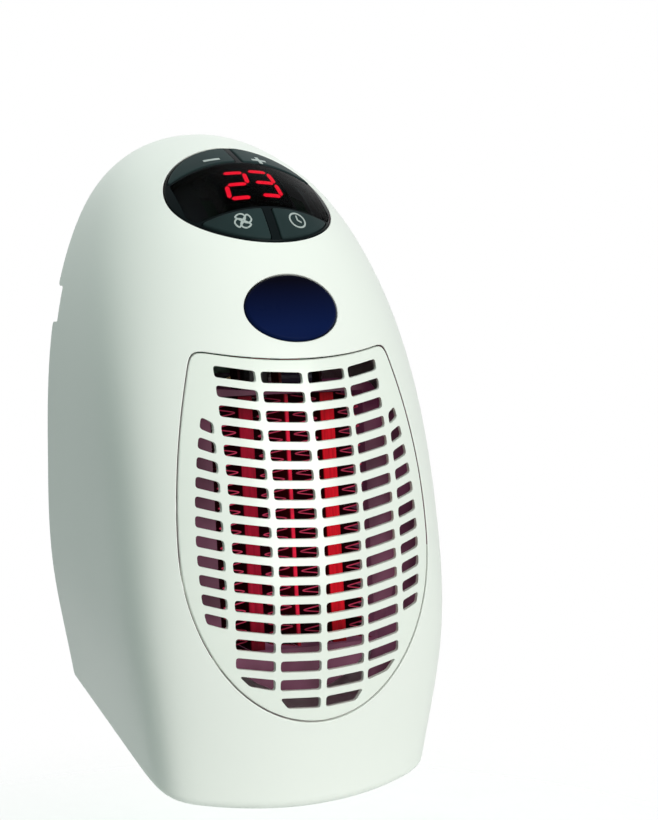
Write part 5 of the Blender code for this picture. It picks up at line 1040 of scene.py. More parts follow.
# %% Openings of the shell
GRILLE_WAIST, GRILLE_TOP, GRILLE_TALL = 0.0695, 0.1202, 0.0507
GRILLE_HALF, GRILLE_FOOT = 0.0363, 0.0461
GRILLE_LEAN, GRILLE_DIP = 0.0081, 0.0027
GRILLE_CORNER, GRILLE_PITCH = 0.0042, 0.0009
RIM, RIM_ROUND, RIM_DEEP = (0.0238, 0.0216), 0.0004, 0.010
LENS_OPENING, LENS_DEEP = (0.0135, 0.0096), 0.006
GRILLE_ROUND, GRILLE_DEEP = 0.0005, 0.030
NOTCH_HEIGHT, NOTCH_HALF, NOTCH_DEEP = BODY_HEIGHT * 0.7322, 0.0050, 0.0034
NOTCH_LIP, NOTCH_CORNER = 0.0012, 0.0008
BEYOND_SIDE = 0.0510
SWITCH_FORWARD, SWITCH_HEIGHT = 0.0138, 0.0700
# From inside to outside, half width, half height and edge radius: see switch_box.
SWITCH_OPENING = (0.030, 0.0508, 0.0063, 0.0095, 0.0004)


def grille_half_width(height, inset):
    """Half width of the grille: an ellipse below its waist, leaning in by a square above."""
    wide, deep = GRILLE_HALF - inset, GRILLE_FOOT - inset
    below = wide * np.sqrt(np.clip(1 - ((GRILLE_WAIST - height) / deep) ** 2, 0, 1))
    above = wide - GRILLE_LEAN * ((height - GRILLE_WAIST) / GRILLE_TALL) ** 2
    return np.where(height <= GRILLE_WAIST, below, above)


def grille_outline(inset=0.0):
    """Round foot, leaning sides and a dipped top edge, corners softened."""
    turns = np.linspace(-math.pi / 2, 0, 60)
    wide, deep, top = GRILLE_HALF - inset, GRILLE_FOOT - inset, GRILLE_TOP - inset
    low = np.stack([wide * np.cos(turns), GRILLE_WAIST + deep * np.sin(turns)], 1)
    high = np.linspace(GRILLE_WAIST, top, 40)[1:]
    high = np.stack([grille_half_width(high, inset), high], 1)
    across = np.linspace(high[-1, 0], 0, 30)[1:]
    lid = np.stack([across, top - GRILLE_DIP * (1 - (across / high[-1, 0]) ** 2)], 1)
    right = np.vstack([low, high, lid])
    left = right[1:-1][::-1] * SIDE_FLIP
    return softened(np.vstack([right, left]), GRILLE_CORNER, GRILLE_PITCH)


def notch_tool():
    """Bar across the rear rim: both its lips and its inner corners are quarter circles."""
    turns = np.linspace(0, math.pi / 2, 7)
    sine, cosine = np.sin(turns), np.cos(turns)
    lip = np.stack([NOTCH_LIP - NOTCH_LIP * sine, NOTCH_HALF + NOTCH_LIP * (1 - cosine)], 1)
    inner = np.stack([NOTCH_DEEP - NOTCH_CORNER * (1 - sine),
                      NOTCH_HALF - NOTCH_CORNER * (1 - cosine)], 1)
    upper = np.vstack([inner[::-1], lip, [[-REAR_OVERRUN, lip[-1, 1]]]])
    lower = upper[::-1] * np.array([1.0, -1.0])
    outline = np.vstack([upper, lower])
    return closed_loft([[[side * BEYOND_SIDE, f, NOTCH_HEIGHT + h] for f, h in outline]
                        for side in (-1, 1)])


def switch_box(near, far, half_width, half_height, radius):
    """Soft box round the main switch's middle."""
    return rounded_box((near, SWITCH_FORWARD - half_width, SWITCH_HEIGHT - half_height),
                       (far, SWITCH_FORWARD + half_width, SWITCH_HEIGHT + half_height), radius)


print("the grille's outline has", len(grille_outline()), "points")

# %% [markdown]
# ## Shell
#
# The shell is the outer body less the inner one, less its openings. Only the faces that look
# inwards beside the core and the fan take the core's light, painted on as a mauve glow, so the
# material is chosen face by face instead of being painted on a map.

# %% Shell
# Faces that take the painted glow: this far under the skin, this far forward, this inward.
GLOW_PAINT_DEPTH, GLOW_PAINT_FORWARD, GLOW_PAINT_FACING = 0.0012, 0.0300, 0.5


def paint_glow_inside(shell):
    """Second material, of painted glow, for inward faces under the skin beside the core and fan.
    """
    mesh = shell.data
    centres = np.empty(len(mesh.polygons) * 3)
    mesh.polygons.foreach_get("center", centres)
    centres = housing(centres.reshape(-1, 3))
    skin, distance = skin_normals(centres)
    looks = np.empty(len(mesh.polygons) * 3)
    mesh.polygons.foreach_get("normal", looks)
    turned_in = np.einsum("ij,ij->i", looks.reshape(-1, 3) * FORWARD_FLIP, skin) < -GLOW_PAINT_FACING
    inside = (distance < -GLOW_PAINT_DEPTH) & (centres[:, 1] > GLOW_PAINT_FORWARD) & turned_in
    mesh.polygons.foreach_set("material_index", inside.astype(np.int32))
    print(int(inside.sum()), "faces tinted")


def make_shell():
    """Shell with its openings, white outside and with the core's glow painted inside."""
    shell = object_of("shell", *closed_loft(outer_rows()), slot="front_shell",
                      replaces=["front_shell"])
    outward(shell.data)
    openings = [
        closed_loft(inner_rows()),
        flared(oval(*RIM), PANEL, RIM_ROUND, RIM_DEEP),
        flared(oval(*LENS_OPENING, 110), LENS, RIM_ROUND, LENS_DEEP),
        flared(grille_outline(), FRONT, GRILLE_ROUND, GRILLE_DEEP),
        notch_tool(),
        switch_box(*SWITCH_OPENING),
    ]
    for part in openings:
        cut(shell, [part])
    skin_shaded(shell)
    painted(shell, SHELL_WHITE, PAINTED_INNER_GLOW)
    paint_glow_inside(shell)


make_shell()
print("shell done")

# %% [markdown]
# ## Grille
#
# The real grille is an insert with 18 rows of slots in six columns. The rows bow upwards
# towards the sides with the square of the distance, and the outer ends follow the grille's
# outline. An array of one slot would keep every slot alike, so each gets its own outline: its
# ends are worked out from the curve of the side at its own height.

# %% Grille
# Each column: its inner end, its outer end and the rows that have a slot in it.
SLOT_COLUMNS = (
    (0.0008, 0.01205, range(18)), (0.0134, 0.0236, range(17)), (0.0254, 0.0321, range(3, 14))
)
SLOT_FIRST = 0.1125
SLOT_PITCH = 0.00492
SLOT_HALF = 0.00145
SLOT_BOW, SLOT_BOW_AT = 0.0023, 0.0236
SLOT_SIDE, SLOT_LEAN, SLOT_MIDDLE, SLOT_TALL = 0.0321, 0.0040, 0.0705, 0.033
SLOT_MARGIN, SLOT_LEAST = 0.0027, 0.0018
# SOFT, here and below: the radius of the corners and the spacing of the points.
SLOT_SOFT = (0.0012, 0.0004)
SLOT_ROUND, SLOT_DEEP = 0.00035, 0.006
GRILLE_GAP, GRILLE_SUNK, GRILLE_THICK = 0.00035, -0.0002, 0.0014


def laid(name, node, shape, material, proud=0.0, body="housing", cuts=()):
    """Piece that follows the skin in place of a CAD node: cut, shaded by formula and painted."""
    made = object_of(name, *shape, body=body, slot=node, replaces=[node])
    outward(made.data)
    for parts in cuts:
        cut(made, parts)
    skin_shaded(made, proud)
    painted(made, material)


def slot_reach(height, high):
    """How far out a slot may reach at a height."""
    side = SLOT_SIDE - SLOT_LEAN * ((height - SLOT_MIDDLE) / SLOT_TALL) ** 2
    return min(high, side, float(grille_half_width(np.array(height), SLOT_MARGIN)))


def slot_outline(low, high, row):
    """Softened outline of one slot on the right, or none where the side leaves no room."""
    middle = SLOT_FIRST - row * SLOT_PITCH
    start = middle + SLOT_BOW * (low / SLOT_BOW_AT) ** 2
    end = middle + SLOT_BOW * (high / SLOT_BOW_AT) ** 2
    foot, top = slot_reach(end - SLOT_HALF, high), slot_reach(end + SLOT_HALF, high)
    if min(foot, top) - low < SLOT_LEAST:
        return None
    corners = np.array([
        (low, start - SLOT_HALF), (foot, end - SLOT_HALF),
        (top, end + SLOT_HALF), (low, start + SLOT_HALF),
    ])
    return softened(corners, *SLOT_SOFT)


def slot_outlines():
    """Outlines of all slots, each on the right and mirrored on the left."""
    made = []
    for low, high, rows in SLOT_COLUMNS:
        for row in rows:
            soft = slot_outline(low, high, row)
            if soft is not None:
                made += [soft, (soft * SIDE_FLIP)[::-1]]
    return made


slots = [flared(outline, FRONT, SLOT_ROUND, SLOT_DEEP, steps=3) for outline in slot_outlines()]
insert = pad(grille_outline(GRILLE_GAP), FRONT, GRILLE_SUNK, GRILLE_THICK, GRILLE_ROUND, rings=44)
laid("grille", "front_grille", insert, GRILLE_WHITE, GRILLE_SUNK, cuts=[slots])
print(len(slots), "slots cut")

# %% [markdown]
# ## Outlines on the panel
#
# In the panel's plane the rim is an ellipse, and two arcs part the upper keys, the window and
# the lower keys. Drawing each key by hand would leave uneven seams. Here every outline is what
# lies between an arc and the rim, less the same gap, and the left keys mirror the right ones.

# %% Outlines on the panel
UPPER_ARC, LOWER_ARC, ARC_REACH = (0.0106, 0.0033), (-0.0102, 0.0014), 0.01904
KEY_GAP = 0.0003
RIM_BAND = 0.0008
WINDOW_BAND = 0.0026
# Half the gap between the left and the right key: of the upper pair, and of the lower.
MIDDLE_GAPS = {True: 0.0009, False: 0.0013}
KEY_LEAST = 0.0004
KEY_SOFT, WINDOW_SOFT = (0.0009, 0.0005), (0.0007, 0.0006)


def rim(u, inset):
    """Distance of the panel's outline from its long axis: b sqrt(1 - (u / a)^2)."""
    return (RIM[1] - inset) * np.sqrt(np.clip(1 - (u / (RIM[0] - inset)) ** 2, 0, 1))


def parting(arc, u):
    """Height of a parting arc at a place across: a - b (u / reach)^2."""
    return arc[0] - arc[1] * (u / ARC_REACH) ** 2


def key_outline(upper, side, inset):
    """One key between its arc, the rim and the gap in the middle."""
    marks = np.linspace(MIDDLE_GAPS[upper] + inset, RIM[0], 400)
    far = rim(marks, RIM_BAND + inset)
    if upper:
        near = parting(UPPER_ARC, marks) + KEY_GAP + inset
    else:
        near, far = parting(LOWER_ARC, marks) - KEY_GAP - inset, -far
    kept = np.abs(far) - np.abs(near) > KEY_LEAST
    marks, near, far = marks[kept], near[kept], far[kept]
    ring = np.vstack([np.stack([marks, near], 1), np.stack([marks, far], 1)[::-1]])
    ring = ring if upper else ring[::-1]
    if side < 0:
        ring = (ring * SIDE_FLIP)[::-1]
    return softened(ring, *KEY_SOFT)


def window_outline(inset):
    """The display window between the two arcs."""
    end = RIM[0] - WINDOW_BAND - inset
    marks = end * np.sin(np.linspace(-math.pi / 2, math.pi / 2, 120))
    edge = rim(marks, RIM_BAND + inset)
    low = np.maximum(parting(LOWER_ARC, marks) + KEY_GAP + inset, -edge)
    high = np.minimum(parting(UPPER_ARC, marks) - KEY_GAP - inset, edge)
    ring = np.vstack([np.stack([marks, low], 1), np.stack([marks, high], 1)[-2:0:-1]])
    return softened(ring, *WINDOW_SOFT)


tall = UPPER_ARC[0] - LOWER_ARC[0] - 2 * KEY_GAP
print("the window is %.1f mm tall in its middle" % (1000 * tall))

# %% [markdown]
# ## Fascia, keys and window
#
# The panel is one black moulding with four keys and a smoked window set flush into it. A single
# dome with lines drawn on it would look the same from afar, but the keys move. So each is a pad
# of its own over its outline, a fifth of a millimetre smaller than its opening.

# %% Fascia, keys and window
# By CAD node: the body that the key rides on, whether it is an upper key, and its side.
KEYS = {
    "button_minus": ("minus_key", True, -1),
    "button_plus": ("plus_key", True, 1),
    "button_speed": ("speed_key", False, -1),
    "button_timer": ("timer_key", False, 1),
}
FASCIA_GAP, FIT_GAP = 0.0003, 0.0002
FASCIA_THICK, FASCIA_ROUND = 0.0030, 0.0006
KEY_PROUD, KEY_THICK, KEY_ROUND = 0.0003, 0.0024, 0.0004
WINDOW_THICK, WINDOW_ROUND = 0.0010, 0.0002
KEY_SEAM, WINDOW_SEAM, SEAM_DEEP = 0.0003, 0.0002, 0.006


def make_fascia():
    """Glossy panel body with an opening for each key and for the window."""
    cuts = [[flared(key_outline(upper, side, 0.0), PANEL, KEY_SEAM, SEAM_DEEP, steps=3)]
            for _, upper, side in KEYS.values()]
    cuts.append([flared(window_outline(0.0), PANEL, WINDOW_SEAM, SEAM_DEEP, steps=3)])
    outline = oval(RIM[0] - FASCIA_GAP, RIM[1] - FASCIA_GAP)
    panel = pad(outline, PANEL, 0.0, FASCIA_THICK, FASCIA_ROUND, rings=34)
    laid("panel", "control_fascia", panel, PANEL_BLACK, cuts=cuts)


def make_keys():
    """Four keys, each on its own sliding body."""
    for node, (body, upper, side) in KEYS.items():
        outline = key_outline(upper, side, FIT_GAP)
        key = pad(outline, PANEL, KEY_PROUD, KEY_THICK, KEY_ROUND, rings=16)
        laid(node + "_cap", node, key, KEY_GREY, KEY_PROUD, body)


make_fascia()
make_keys()
glass = pad(window_outline(FIT_GAP), PANEL, 0.0, WINDOW_THICK, WINDOW_ROUND, rings=16)
laid("window", "display_window", glass, SMOKED)
print("panel done")

# %% [markdown]
# ## Marks on the keys
#
# The real marks are printed. An image on the key would need its own layout, so each mark is a
# stroke instead: a path in the panel's plane, given a width and laid on the key's skin, as thin
# as paint. Minus and plus are plain strokes, the lower keys carry a small fan and a small clock.

# %% Marks
MARK_PROUD = 0.00034
MARK_BELOW, MARK_ABOVE = -0.0001, 0.00005
BOLD, HUB_LINE, DIAL_LINE, THIN = 0.0010, 0.0005, 0.00045, 0.00042
HUB_RADIUS = 0.0004


def stroke(path, width, closed=False):
    """Thin raised strip along a path: rings of four points, side by side along it."""
    path = np.asarray(path, dtype=float)
    if closed:
        along = np.roll(path, -1, axis=0) - np.roll(path, 1, axis=0)
    else:
        along = np.gradient(path, axis=0)
    along /= np.maximum(np.linalg.norm(along, axis=1, keepdims=True), TINY)
    side = np.stack([-along[:, 1], along[:, 0]], 1) * width / 2
    left, right = path + side, path - side
    rings = [on_skin(PANEL, edge, MARK_PROUD + n) for edge, n in (
        (left, MARK_BELOW), (left, MARK_ABOVE), (right, MARK_ABOVE), (right, MARK_BELOW))]
    rows = np.stack(rings, 1)
    if closed:
        cells = grid_faces(len(path) + 1, 4)
        return rows.reshape(-1, 3), [tuple(i % (4 * len(path)) for i in cell) for cell in cells]
    return closed_loft(rows)


def line(start, end, count=12):
    """Straight path."""
    return np.linspace(start, end, count)


def arc(centre, radius, start, end, count=36):
    """Path along a circle: centre + (r cos t, r sin t)."""
    turn = np.linspace(start, end, count)
    return np.stack([centre[0] + radius * np.cos(turn), centre[1] + radius * np.sin(turn)], 1)


def fan_icon(centre, radius):
    """Four curved blades round a hub: half arcs that leave the middle."""
    parts = [stroke(arc(centre, HUB_RADIUS, 0, 2 * math.pi, 13)[:-1], HUB_LINE, closed=True)]
    for quarter in range(4):
        turn = quarter * math.pi / 2 + 0.3
        middle = arc(centre, radius / 2, turn, turn, 1)[0]
        parts.append(stroke(arc(middle, radius / 2, turn - 2.7, turn - 0.1, 20), THIN))
        outer = arc(centre, radius, turn, turn + 0.62, 10)
        parts.append(stroke(outer, THIN))
        root = arc(centre, radius * 0.25, turn + 0.9, turn + 0.9, 1)[0]
        parts.append(stroke(line(outer[-1], root, 8), THIN))
    return parts


def clock_icon(centre, radius):
    """Round dial with two hands."""
    parts = [stroke(arc(centre, radius, 0, 2 * math.pi, 49)[:-1], DIAL_LINE, closed=True)]
    for across, up in ((0.0, 0.68), (0.5, -0.25)):
        tip = (centre[0] + radius * across, centre[1] + radius * up)
        parts.append(stroke(line(centre, tip), THIN))
    return parts


SIGNS = {
    "minus_key": [((-0.0097, 0.0130), (-0.0051, 0.0130))],
    "plus_key": [((0.0044, 0.0125), (0.0088, 0.0125)), ((0.0066, 0.0104), (0.0066, 0.0146))],
}
FAN_PLACE, FAN_RADIUS = (-0.0080, -0.0146), 0.0024
CLOCK_PLACE, CLOCK_RADIUS = (0.0080, -0.0146), 0.0023


def make_marks():
    """Marks of the four keys, each moving with its key."""
    marks = {body: [stroke(line(*ends), BOLD) for ends in bars] for body, bars in SIGNS.items()}
    marks["speed_key"] = fan_icon(FAN_PLACE, FAN_RADIUS)
    marks["timer_key"] = clock_icon(CLOCK_PLACE, CLOCK_RADIUS)
    for node, (body, _, _) in KEYS.items():
        mark = object_of(node + "_mark", *gathered(marks[body]), body=body, slot=node)
        outward(mark.data)
        smooth(mark, 30)
        painted(mark, MARK_GREY)
    print(sum(len(parts) for parts in marks.values()), "strokes")


make_marks()

# %% [markdown]
# ## Digits
#
# The real display has seven bars per digit behind the smoked window, some of them lit. A text
# object would have the wrong forms, so every lit bar is a pointed six-sided outline, laid just
# under the window. The first digit leans to the right, as in the photograph, and the second is
# upright.

# %% Digits
DIGIT_WIDTH, DIGIT_HEIGHT, BAR_WIDTH, BAR_END = 0.0063, 0.0116, 0.00115, 0.00045
DIGIT_FEET = ((-0.0081, -0.0047), (0.0013, -0.0039))
DIGIT_LEANS = (0.0017, -0.0001)
# Both ends of each bar, as shares of the digit's width and height.
BARS = {
    "top": ((0, 1), (1, 1)), "middle": ((0, 0.5), (1, 0.5)), "bottom": ((0, 0), (1, 0)),
    "upper_right": ((1, 0.5), (1, 1)), "lower_right": ((1, 0), (1, 0.5)),
    "lower_left": ((0, 0), (0, 0.5)), "upper_left": ((0, 0.5), (0, 1)),
}
LIT_BARS = (("top", "upper_right", "middle", "lower_left", "bottom"),
            ("top", "upper_right", "middle", "lower_right", "bottom"))
DIGIT_DEPTH = 0.0014
MODULE_LOW, MODULE_HIGH = (-0.0102, -0.0067), (0.0102, 0.0081)
MODULE_SOFT = (0.0006, 0.0008)
BAR_SUNK, BAR_ROUND, BAR_STEP = 0.0004, 0.0001, 0.0004
MODULE_PROUD, MODULE_THICK, MODULE_ROUND = -DIGIT_DEPTH - 0.0003, 0.0060, 0.0003


def bar_outline(start, end):
    """Pointed bar between two places of a digit."""
    start, end = np.array(start), np.array(end)
    along = (end - start) / np.linalg.norm(end - start)
    across = np.array([-along[1], along[0]]) * BAR_WIDTH / 2
    first, last = start + along * BAR_END, end - along * BAR_END
    taper = along * BAR_WIDTH / 2
    near = [first, first + taper - across, last - taper - across]
    far = [last, last - taper + across, first + taper + across]
    return resampled(np.array(near + far), BAR_STEP)


def digit_bars(index, names):
    """Pads of one digit's bars: a place (a, b) stands at foot + (a width + b lean, b height)."""
    left, foot = DIGIT_FEET[index]
    made = []
    for name in names:
        ends = [(left + a * DIGIT_WIDTH + b * DIGIT_LEANS[index], foot + b * DIGIT_HEIGHT)
                for a, b in BARS[name]]
        outline = bar_outline(*ends)
        made.append(pad(outline, PANEL, -DIGIT_DEPTH, DIGIT_DEPTH + BAR_SUNK, BAR_ROUND, rings=3))
    return made


def make_digits():
    """Lit bars of both digits, and the dark module that carries them."""
    parts = digit_bars(0, LIT_BARS[0]) + digit_bars(1, LIT_BARS[1])
    digits = object_of("digits", *gathered(parts), slot="display_module")
    outward(digits.data)
    painted(digits, DIGIT_RED)
    (left, low), (right, high) = MODULE_LOW, MODULE_HIGH
    corners = np.array([(left, low), (right, low), (right, high), (left, high)])
    outline = softened(corners, *MODULE_SOFT)
    block = pad(outline, PANEL, MODULE_PROUD, MODULE_THICK, MODULE_ROUND, rings=10)
    laid("display", "display_module", block, MODULE_BLACK, MODULE_PROUD)


make_digits()
print("digits done")

# %% [markdown]
# ## Receiver lens
#
# The receiver sits behind an oval of dark blue plastic under the panel. It is as glossy as the
# panel and stands a little out of the shell. A flat disc would break the egg's curve, so it is a
# pad over an oval on a plane of its own, with a wider rounding than the keys have.

# %% Lens
LENS_HALF = (0.0132, 0.0093)
LENS_PROUD, LENS_THICK, LENS_ROUND = 0.0004, 0.0020, 0.0009

dome = pad(oval(*LENS_HALF, 120), LENS, LENS_PROUD, LENS_THICK, LENS_ROUND, rings=24, steps=6)
laid("lens", "receiver_lens", dome, LENS_BLUE, LENS_PROUD)
print("lens of", len(dome[0]), "points")

# %% [markdown]
# ## Heater core
#
# Between the hot bars the real core has strips of thin folded metal. The CAD model has a few
# coarse folds. Here a strip is a folded ribbon with a real thickness: its place across is a
# triangle wave of the height, its bends rounded by averaging. The bars keep their CAD shape and
# take a glowing material.

# %% Core
FIN_PITCH, FIN_THICK, FIN_STEPS = 0.0026, 0.00024, 12
BAR_STREAKS = (3.0, 1.0, 0.15)
FIN_REACH, BAR_REACH, WIRE_REACH = 0.00035, 0.0008, 0.0010


def folded_path(low, high):
    """Path (across, height) of a ribbon folded between two sides: |t mod 2 - 1| across."""
    tall = high[2] - low[2]
    count = int(round(2 * tall / FIN_PITCH))
    marks = np.linspace(0, count, count * FIN_STEPS + 1)
    wave = np.abs((marks % 2) - 1)
    kernel = np.hanning(9)[1:-1]
    wave = np.convolve(np.pad(wave, 3, mode="edge"), kernel / kernel.sum(), mode="valid")
    across = low[0] + FIN_THICK + (high[0] - low[0] - 2 * FIN_THICK) * wave
    height = low[2] + FIN_THICK + (tall - 2 * FIN_THICK) * marks / count
    return np.stack([across, height], 1)


def fin_strip(low, high):
    """Folded ribbon between two uprights, as deep as the core and leaning with it."""
    path = folded_path(low, high)
    along = np.gradient(path, axis=0)
    along /= np.linalg.norm(along, axis=1, keepdims=True)
    side = np.stack([-along[:, 1], along[:, 0]], 1) * FIN_THICK / 2
    left, right = path + side, path - side
    rings = []
    for edge, depth in ((left, low[1]), (left, high[1]), (right, high[1]), (right, low[1])):
        stands = depth - CORE_SLOPE * (edge[:, 1] - CORE_MIDDLE)
        rings.append(np.stack([edge[:, 0], stands, edge[:, 1]], 1))
    return closed_loft(np.stack(rings, 1))


def make_fins(name, material):
    """Fine strip in place of a coarse one, between the ends of the CAD strip."""
    low, high = (np.array(corner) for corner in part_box(name))
    low = (low[0], CORE_FRONT - CORE_DEPTH, low[2] + PLUG_HEIGHT)
    high = (high[0], CORE_FRONT, high[2] + PLUG_HEIGHT)
    strip = object_of(name.replace("fins", "fin_strip"), *fin_strip(low, high), slot=name,
                      replaces=[name])
    outward(strip.data)
    smooth(strip, 40)
    painted(strip, material)


fin_red = glowing("fin_red", (0.006, 0.003, 0.004), (0.50, 0.040, 0.090), 1.0, FIN_REACH)
for fins in ("fins_inner_left", "fins_inner_right", "fins_outer_left", "fins_outer_right"):
    make_fins(fins, fin_red)
bar_dark = (0.020, 0.006, 0.008)
for node, red in (("left", (0.38, 0.006, 0.026)), ("right", (0.78, 0.008, 0.020))):
    painted(bpy.data.objects["ptc_bar_" + node],
            glowing("bar_red_" + node, bar_dark, red, 0.8, BAR_REACH, BAR_STREAKS))
painted(bpy.data.objects["center_electrode"],
        glowing("wire_red", (0.10, 0.02, 0.02), (0.75, 0.012, 0.050), 1.0, WIRE_REACH))
print("core done")

# %% [markdown]
# ## Rear cover
#
# The cover is a flat plate inside the rear rim, and it isn't seen in the photograph. It could
# stay as the CAD has it, but then its edges would be sharp from behind. Its outline is found
# where the skin stands as far forward as the plate, moved in by the wall. Vents, the plug's
# round opening and screw holes are cut by tools whose mouths open in a quarter circle.

# %% Rear cover
COVER_REAR, COVER_FRONT = 0.0038, 0.0062
COVER_GAP, COVER_EDGE = 0.0004, 0.0004
COVER_TOP = BODY_HEIGHT * 0.993
COVER_STEP, COVER_SOFT, VENT_SOFT = 0.0012, (0.0016, 0.0010), (0.0013, 0.0005)
CASE_SCREWS = ((0.0340, 0.0340), (0.0280, 0.1500))
SCREW_PLACES = [(side * x, z) for x, z in CASE_SCREWS for side in (-1, 1)]
VENT_ROWS, VENT_START, VENT_PITCH = 9, 0.0400, 0.0058
VENT_HEIGHT, VENT_WIDTH, VENT_BAR = 0.0026, 0.026, 0.004
COLLAR_HOLE, SCREW_HOLE = 0.0193, 0.0016
MOUTH, SCREW_MOUTH = 0.0004, 0.0002
TOOL_BEHIND, TOOL_AHEAD = 0.003, 0.004
COVER_ROOM = 1.2


def cover_half_width(level):
    """Half width at which the skin stands as far forward as the cover, by halving."""
    wide, deep, power, fall = shape_at(level)
    low, high = np.zeros_like(level), np.ones_like(level)
    for _ in range(40):
        middle = (low + high) / 2
        forward = deep * (1 - fall * middle ** 2) * (1 - middle ** power) ** (1 / power)
        stands = forward > COVER_FRONT
        low, high = np.where(stands, middle, low), np.where(stands, high, middle)
    return wide * low


def cover_outline():
    """Right edge upwards, top, left edge downwards, moved in by the wall and a fine gap."""
    level = 1 - np.linspace(math.sqrt(1 - WALL / BODY_HEIGHT), 0, 90)[:-1] ** 2
    level = level[shape_at(level)[1] > COVER_FRONT * COVER_ROOM]
    rise = FOOT_RISE * (1 - COVER_REAR / DEPTHS[-1])
    right = np.stack([cover_half_width(level), level * BODY_HEIGHT + rise * (1 - level)], 1)
    left = right[::-1] * SIDE_FLIP
    ring = resampled(np.vstack([right, [[0.0, COVER_TOP]], left]), COVER_STEP)
    return softened(drawn_in(ring, WALL + COVER_GAP), *COVER_SOFT)


def upright_ring(outline, forward):
    """Points of an outline in an upright plane."""
    return np.stack([outline[:, 0], np.full(len(outline), forward), outline[:, 1]], 1)


def flat_tool(outline, start, end, flare):
    """Cutter through a flat plate; its mouth opens by r(1 - sin t) at a depth r(1 - cos t)."""
    rows = [(flare, start - TOOL_BEHIND)]
    rows += [(flare * (1 - math.sin(t)), start + flare * (1 - math.cos(t)))
             for t in np.linspace(0, math.pi / 2, 4)]
    rows.append((0.0, end))
    return closed_loft([upright_ring(drawn_in(outline, -grow), forward) for grow, forward in rows])


def circle(radius, centre, count=48):
    """Round outline."""
    return oval(radius, radius, count) + np.asarray(centre)


def vent_outlines():
    """Outlines of the intake slots, their ends rounded."""
    made = []
    for row in range(VENT_ROWS):
        low = VENT_START + row * VENT_PITCH
        high = low + VENT_HEIGHT
        for side in (-1, 1):
            middle = side * (VENT_WIDTH + VENT_BAR) / 2
            near, far = middle - VENT_WIDTH / 2, middle + VENT_WIDTH / 2
            corners = np.array([(near, low), (far, low), (far, high), (near, high)])
            made.append(softened(corners, *VENT_SOFT))
    return made


def make_rear_cover():
    """Plate with soft edges, cut through for the vents, the plug and the screws."""
    outline = cover_outline()
    rows = [(COVER_EDGE, COVER_REAR), (COVER_EDGE * 0.3, COVER_REAR + COVER_EDGE * 0.3),
            (0.0, COVER_REAR + COVER_EDGE), (0.0, COVER_FRONT)]
    plate = closed_loft([upright_ring(drawn_in(outline, inset), f) for inset, f in rows])
    cover = object_of("back_plate", *plate, slot="rear_cover", replaces=["rear_cover"])
    outward(cover.data)
    end = COVER_FRONT + TOOL_AHEAD
    cut(cover, [flat_tool(vent, COVER_REAR, end, MOUTH) for vent in vent_outlines()])
    opening = circle(COLLAR_HOLE, (0.0, PLUG_HEIGHT), 128)
    cut(cover, [flat_tool(opening, COVER_REAR, end, MOUTH)])
    cut(cover, [flat_tool(circle(SCREW_HOLE, place, 24), COVER_REAR, end, SCREW_MOUTH)
                for place in SCREW_PLACES])
    smooth(cover, 30)
    painted(cover, COVER_WHITE)


make_rear_cover()
print(len(vent_outlines()), "vents")

# %% [markdown]
# ## Case screws
#
# Four pan head screws hold the cover. From behind they are small, so a turned head with a domed
# back is enough, and a cross of two tapered wedges is cut into it. Threads would never show.

# %% Case screws
HEAD_RADIUS, HEAD_DOME, SHAFT_RADIUS = 0.0026, 0.0009, 0.0013
HEAD_BACK, HEAD_SEAT = COVER_REAR - 0.0021, COVER_REAR - 0.0003
CROSS_LONG, CROSS_WIDE = 0.0016, 0.0003
# Each row of a wedge: how much wider it is than the cross, and how far forward.
CROSS_ROWS = ((1.25, HEAD_BACK - 0.001), (1.1, HEAD_BACK + 0.0001), (0.45, HEAD_BACK + 0.0012))


def make_case_screw(node, place):
    """Pan head screw: a turned head with a domed back, its cross cut by two wedges."""
    x, z = place
    profile = [(HEAD_RADIUS * math.sin(t), HEAD_BACK + HEAD_DOME * (1 - math.cos(t)))
               for t in np.linspace(0.45, math.pi / 2, 6)]
    profile += [(HEAD_RADIUS, HEAD_SEAT), (SHAFT_RADIUS, HEAD_SEAT),
                (SHAFT_RADIUS, COVER_FRONT + 0.006)]
    screw = object_of(node + "_turned", *lathe(profile, 40, (x, 0.0, z)), slot="screws",
                      replaces=[node])
    outward(screw.data)
    for long, wide in ((CROSS_LONG, CROSS_WIDE), (CROSS_WIDE, CROSS_LONG)):
        corners = np.array([(-long, -wide), (long, -wide), (long, wide), (-long, wide)])
        rows = [upright_ring(corners * grow + place, forward) for grow, forward in CROSS_ROWS]
        cut(screw, [closed_loft(rows)])
    smooth(screw, 30)
    painted(screw, ZINC)


for number, place in enumerate(SCREW_PLACES, 1):
    make_case_screw("case_screw_%d" % number, place)
print(len(SCREW_PLACES), "case screws")

# %% [markdown]
# ## Plug
#
# The plug's body is a round moulding with two guide grooves and two earth slots in its rim, and
# its round pins are nickelled. The wall hides all of it in the photograph. It is turned from a
# profile, because every rounding can then be a quarter circle of its own.

# %% Plug
# In the housing's axes, where forward is counted from the rear plane.
PLUG_FACE = -REAR_PLANE
TURRET_RADIUS, TURRET_EDGE, FLANGE_RADIUS, BORE_RADIUS = 0.0190, 0.0010, 0.0220, 0.0165
FLANGE_REAR, FLANGE_FRONT, FACE_THICK = 0.0065, 0.0085, 0.0035
GROOVE_NEAR, GROOVE_HALF, GROOVE_EDGE = 0.017125, 0.0027, 0.0006
EARTH_NEAR, EARTH_HALF, EARTH_EDGE = 0.0176, 0.0030, 0.0004
BEYOND_RIM = 0.0230
PIN_RADIUS, PIN_ROUND, PIN_LENGTH, PIN_HALF_SPACING = 0.0024, 0.0016, 0.019, 0.0095
PIN_HOLE, PIN_HOLE_DEEP, PIN_SEAT = 0.0027, 0.008, 0.0038
RIM_TOOL_BEHIND, RIM_TOOL_AHEAD = 0.004, 0.0155
COLLAR_RADIUS, COLLAR_THICK, TAIL_RADIUS = 0.0034, 0.002, 0.0014


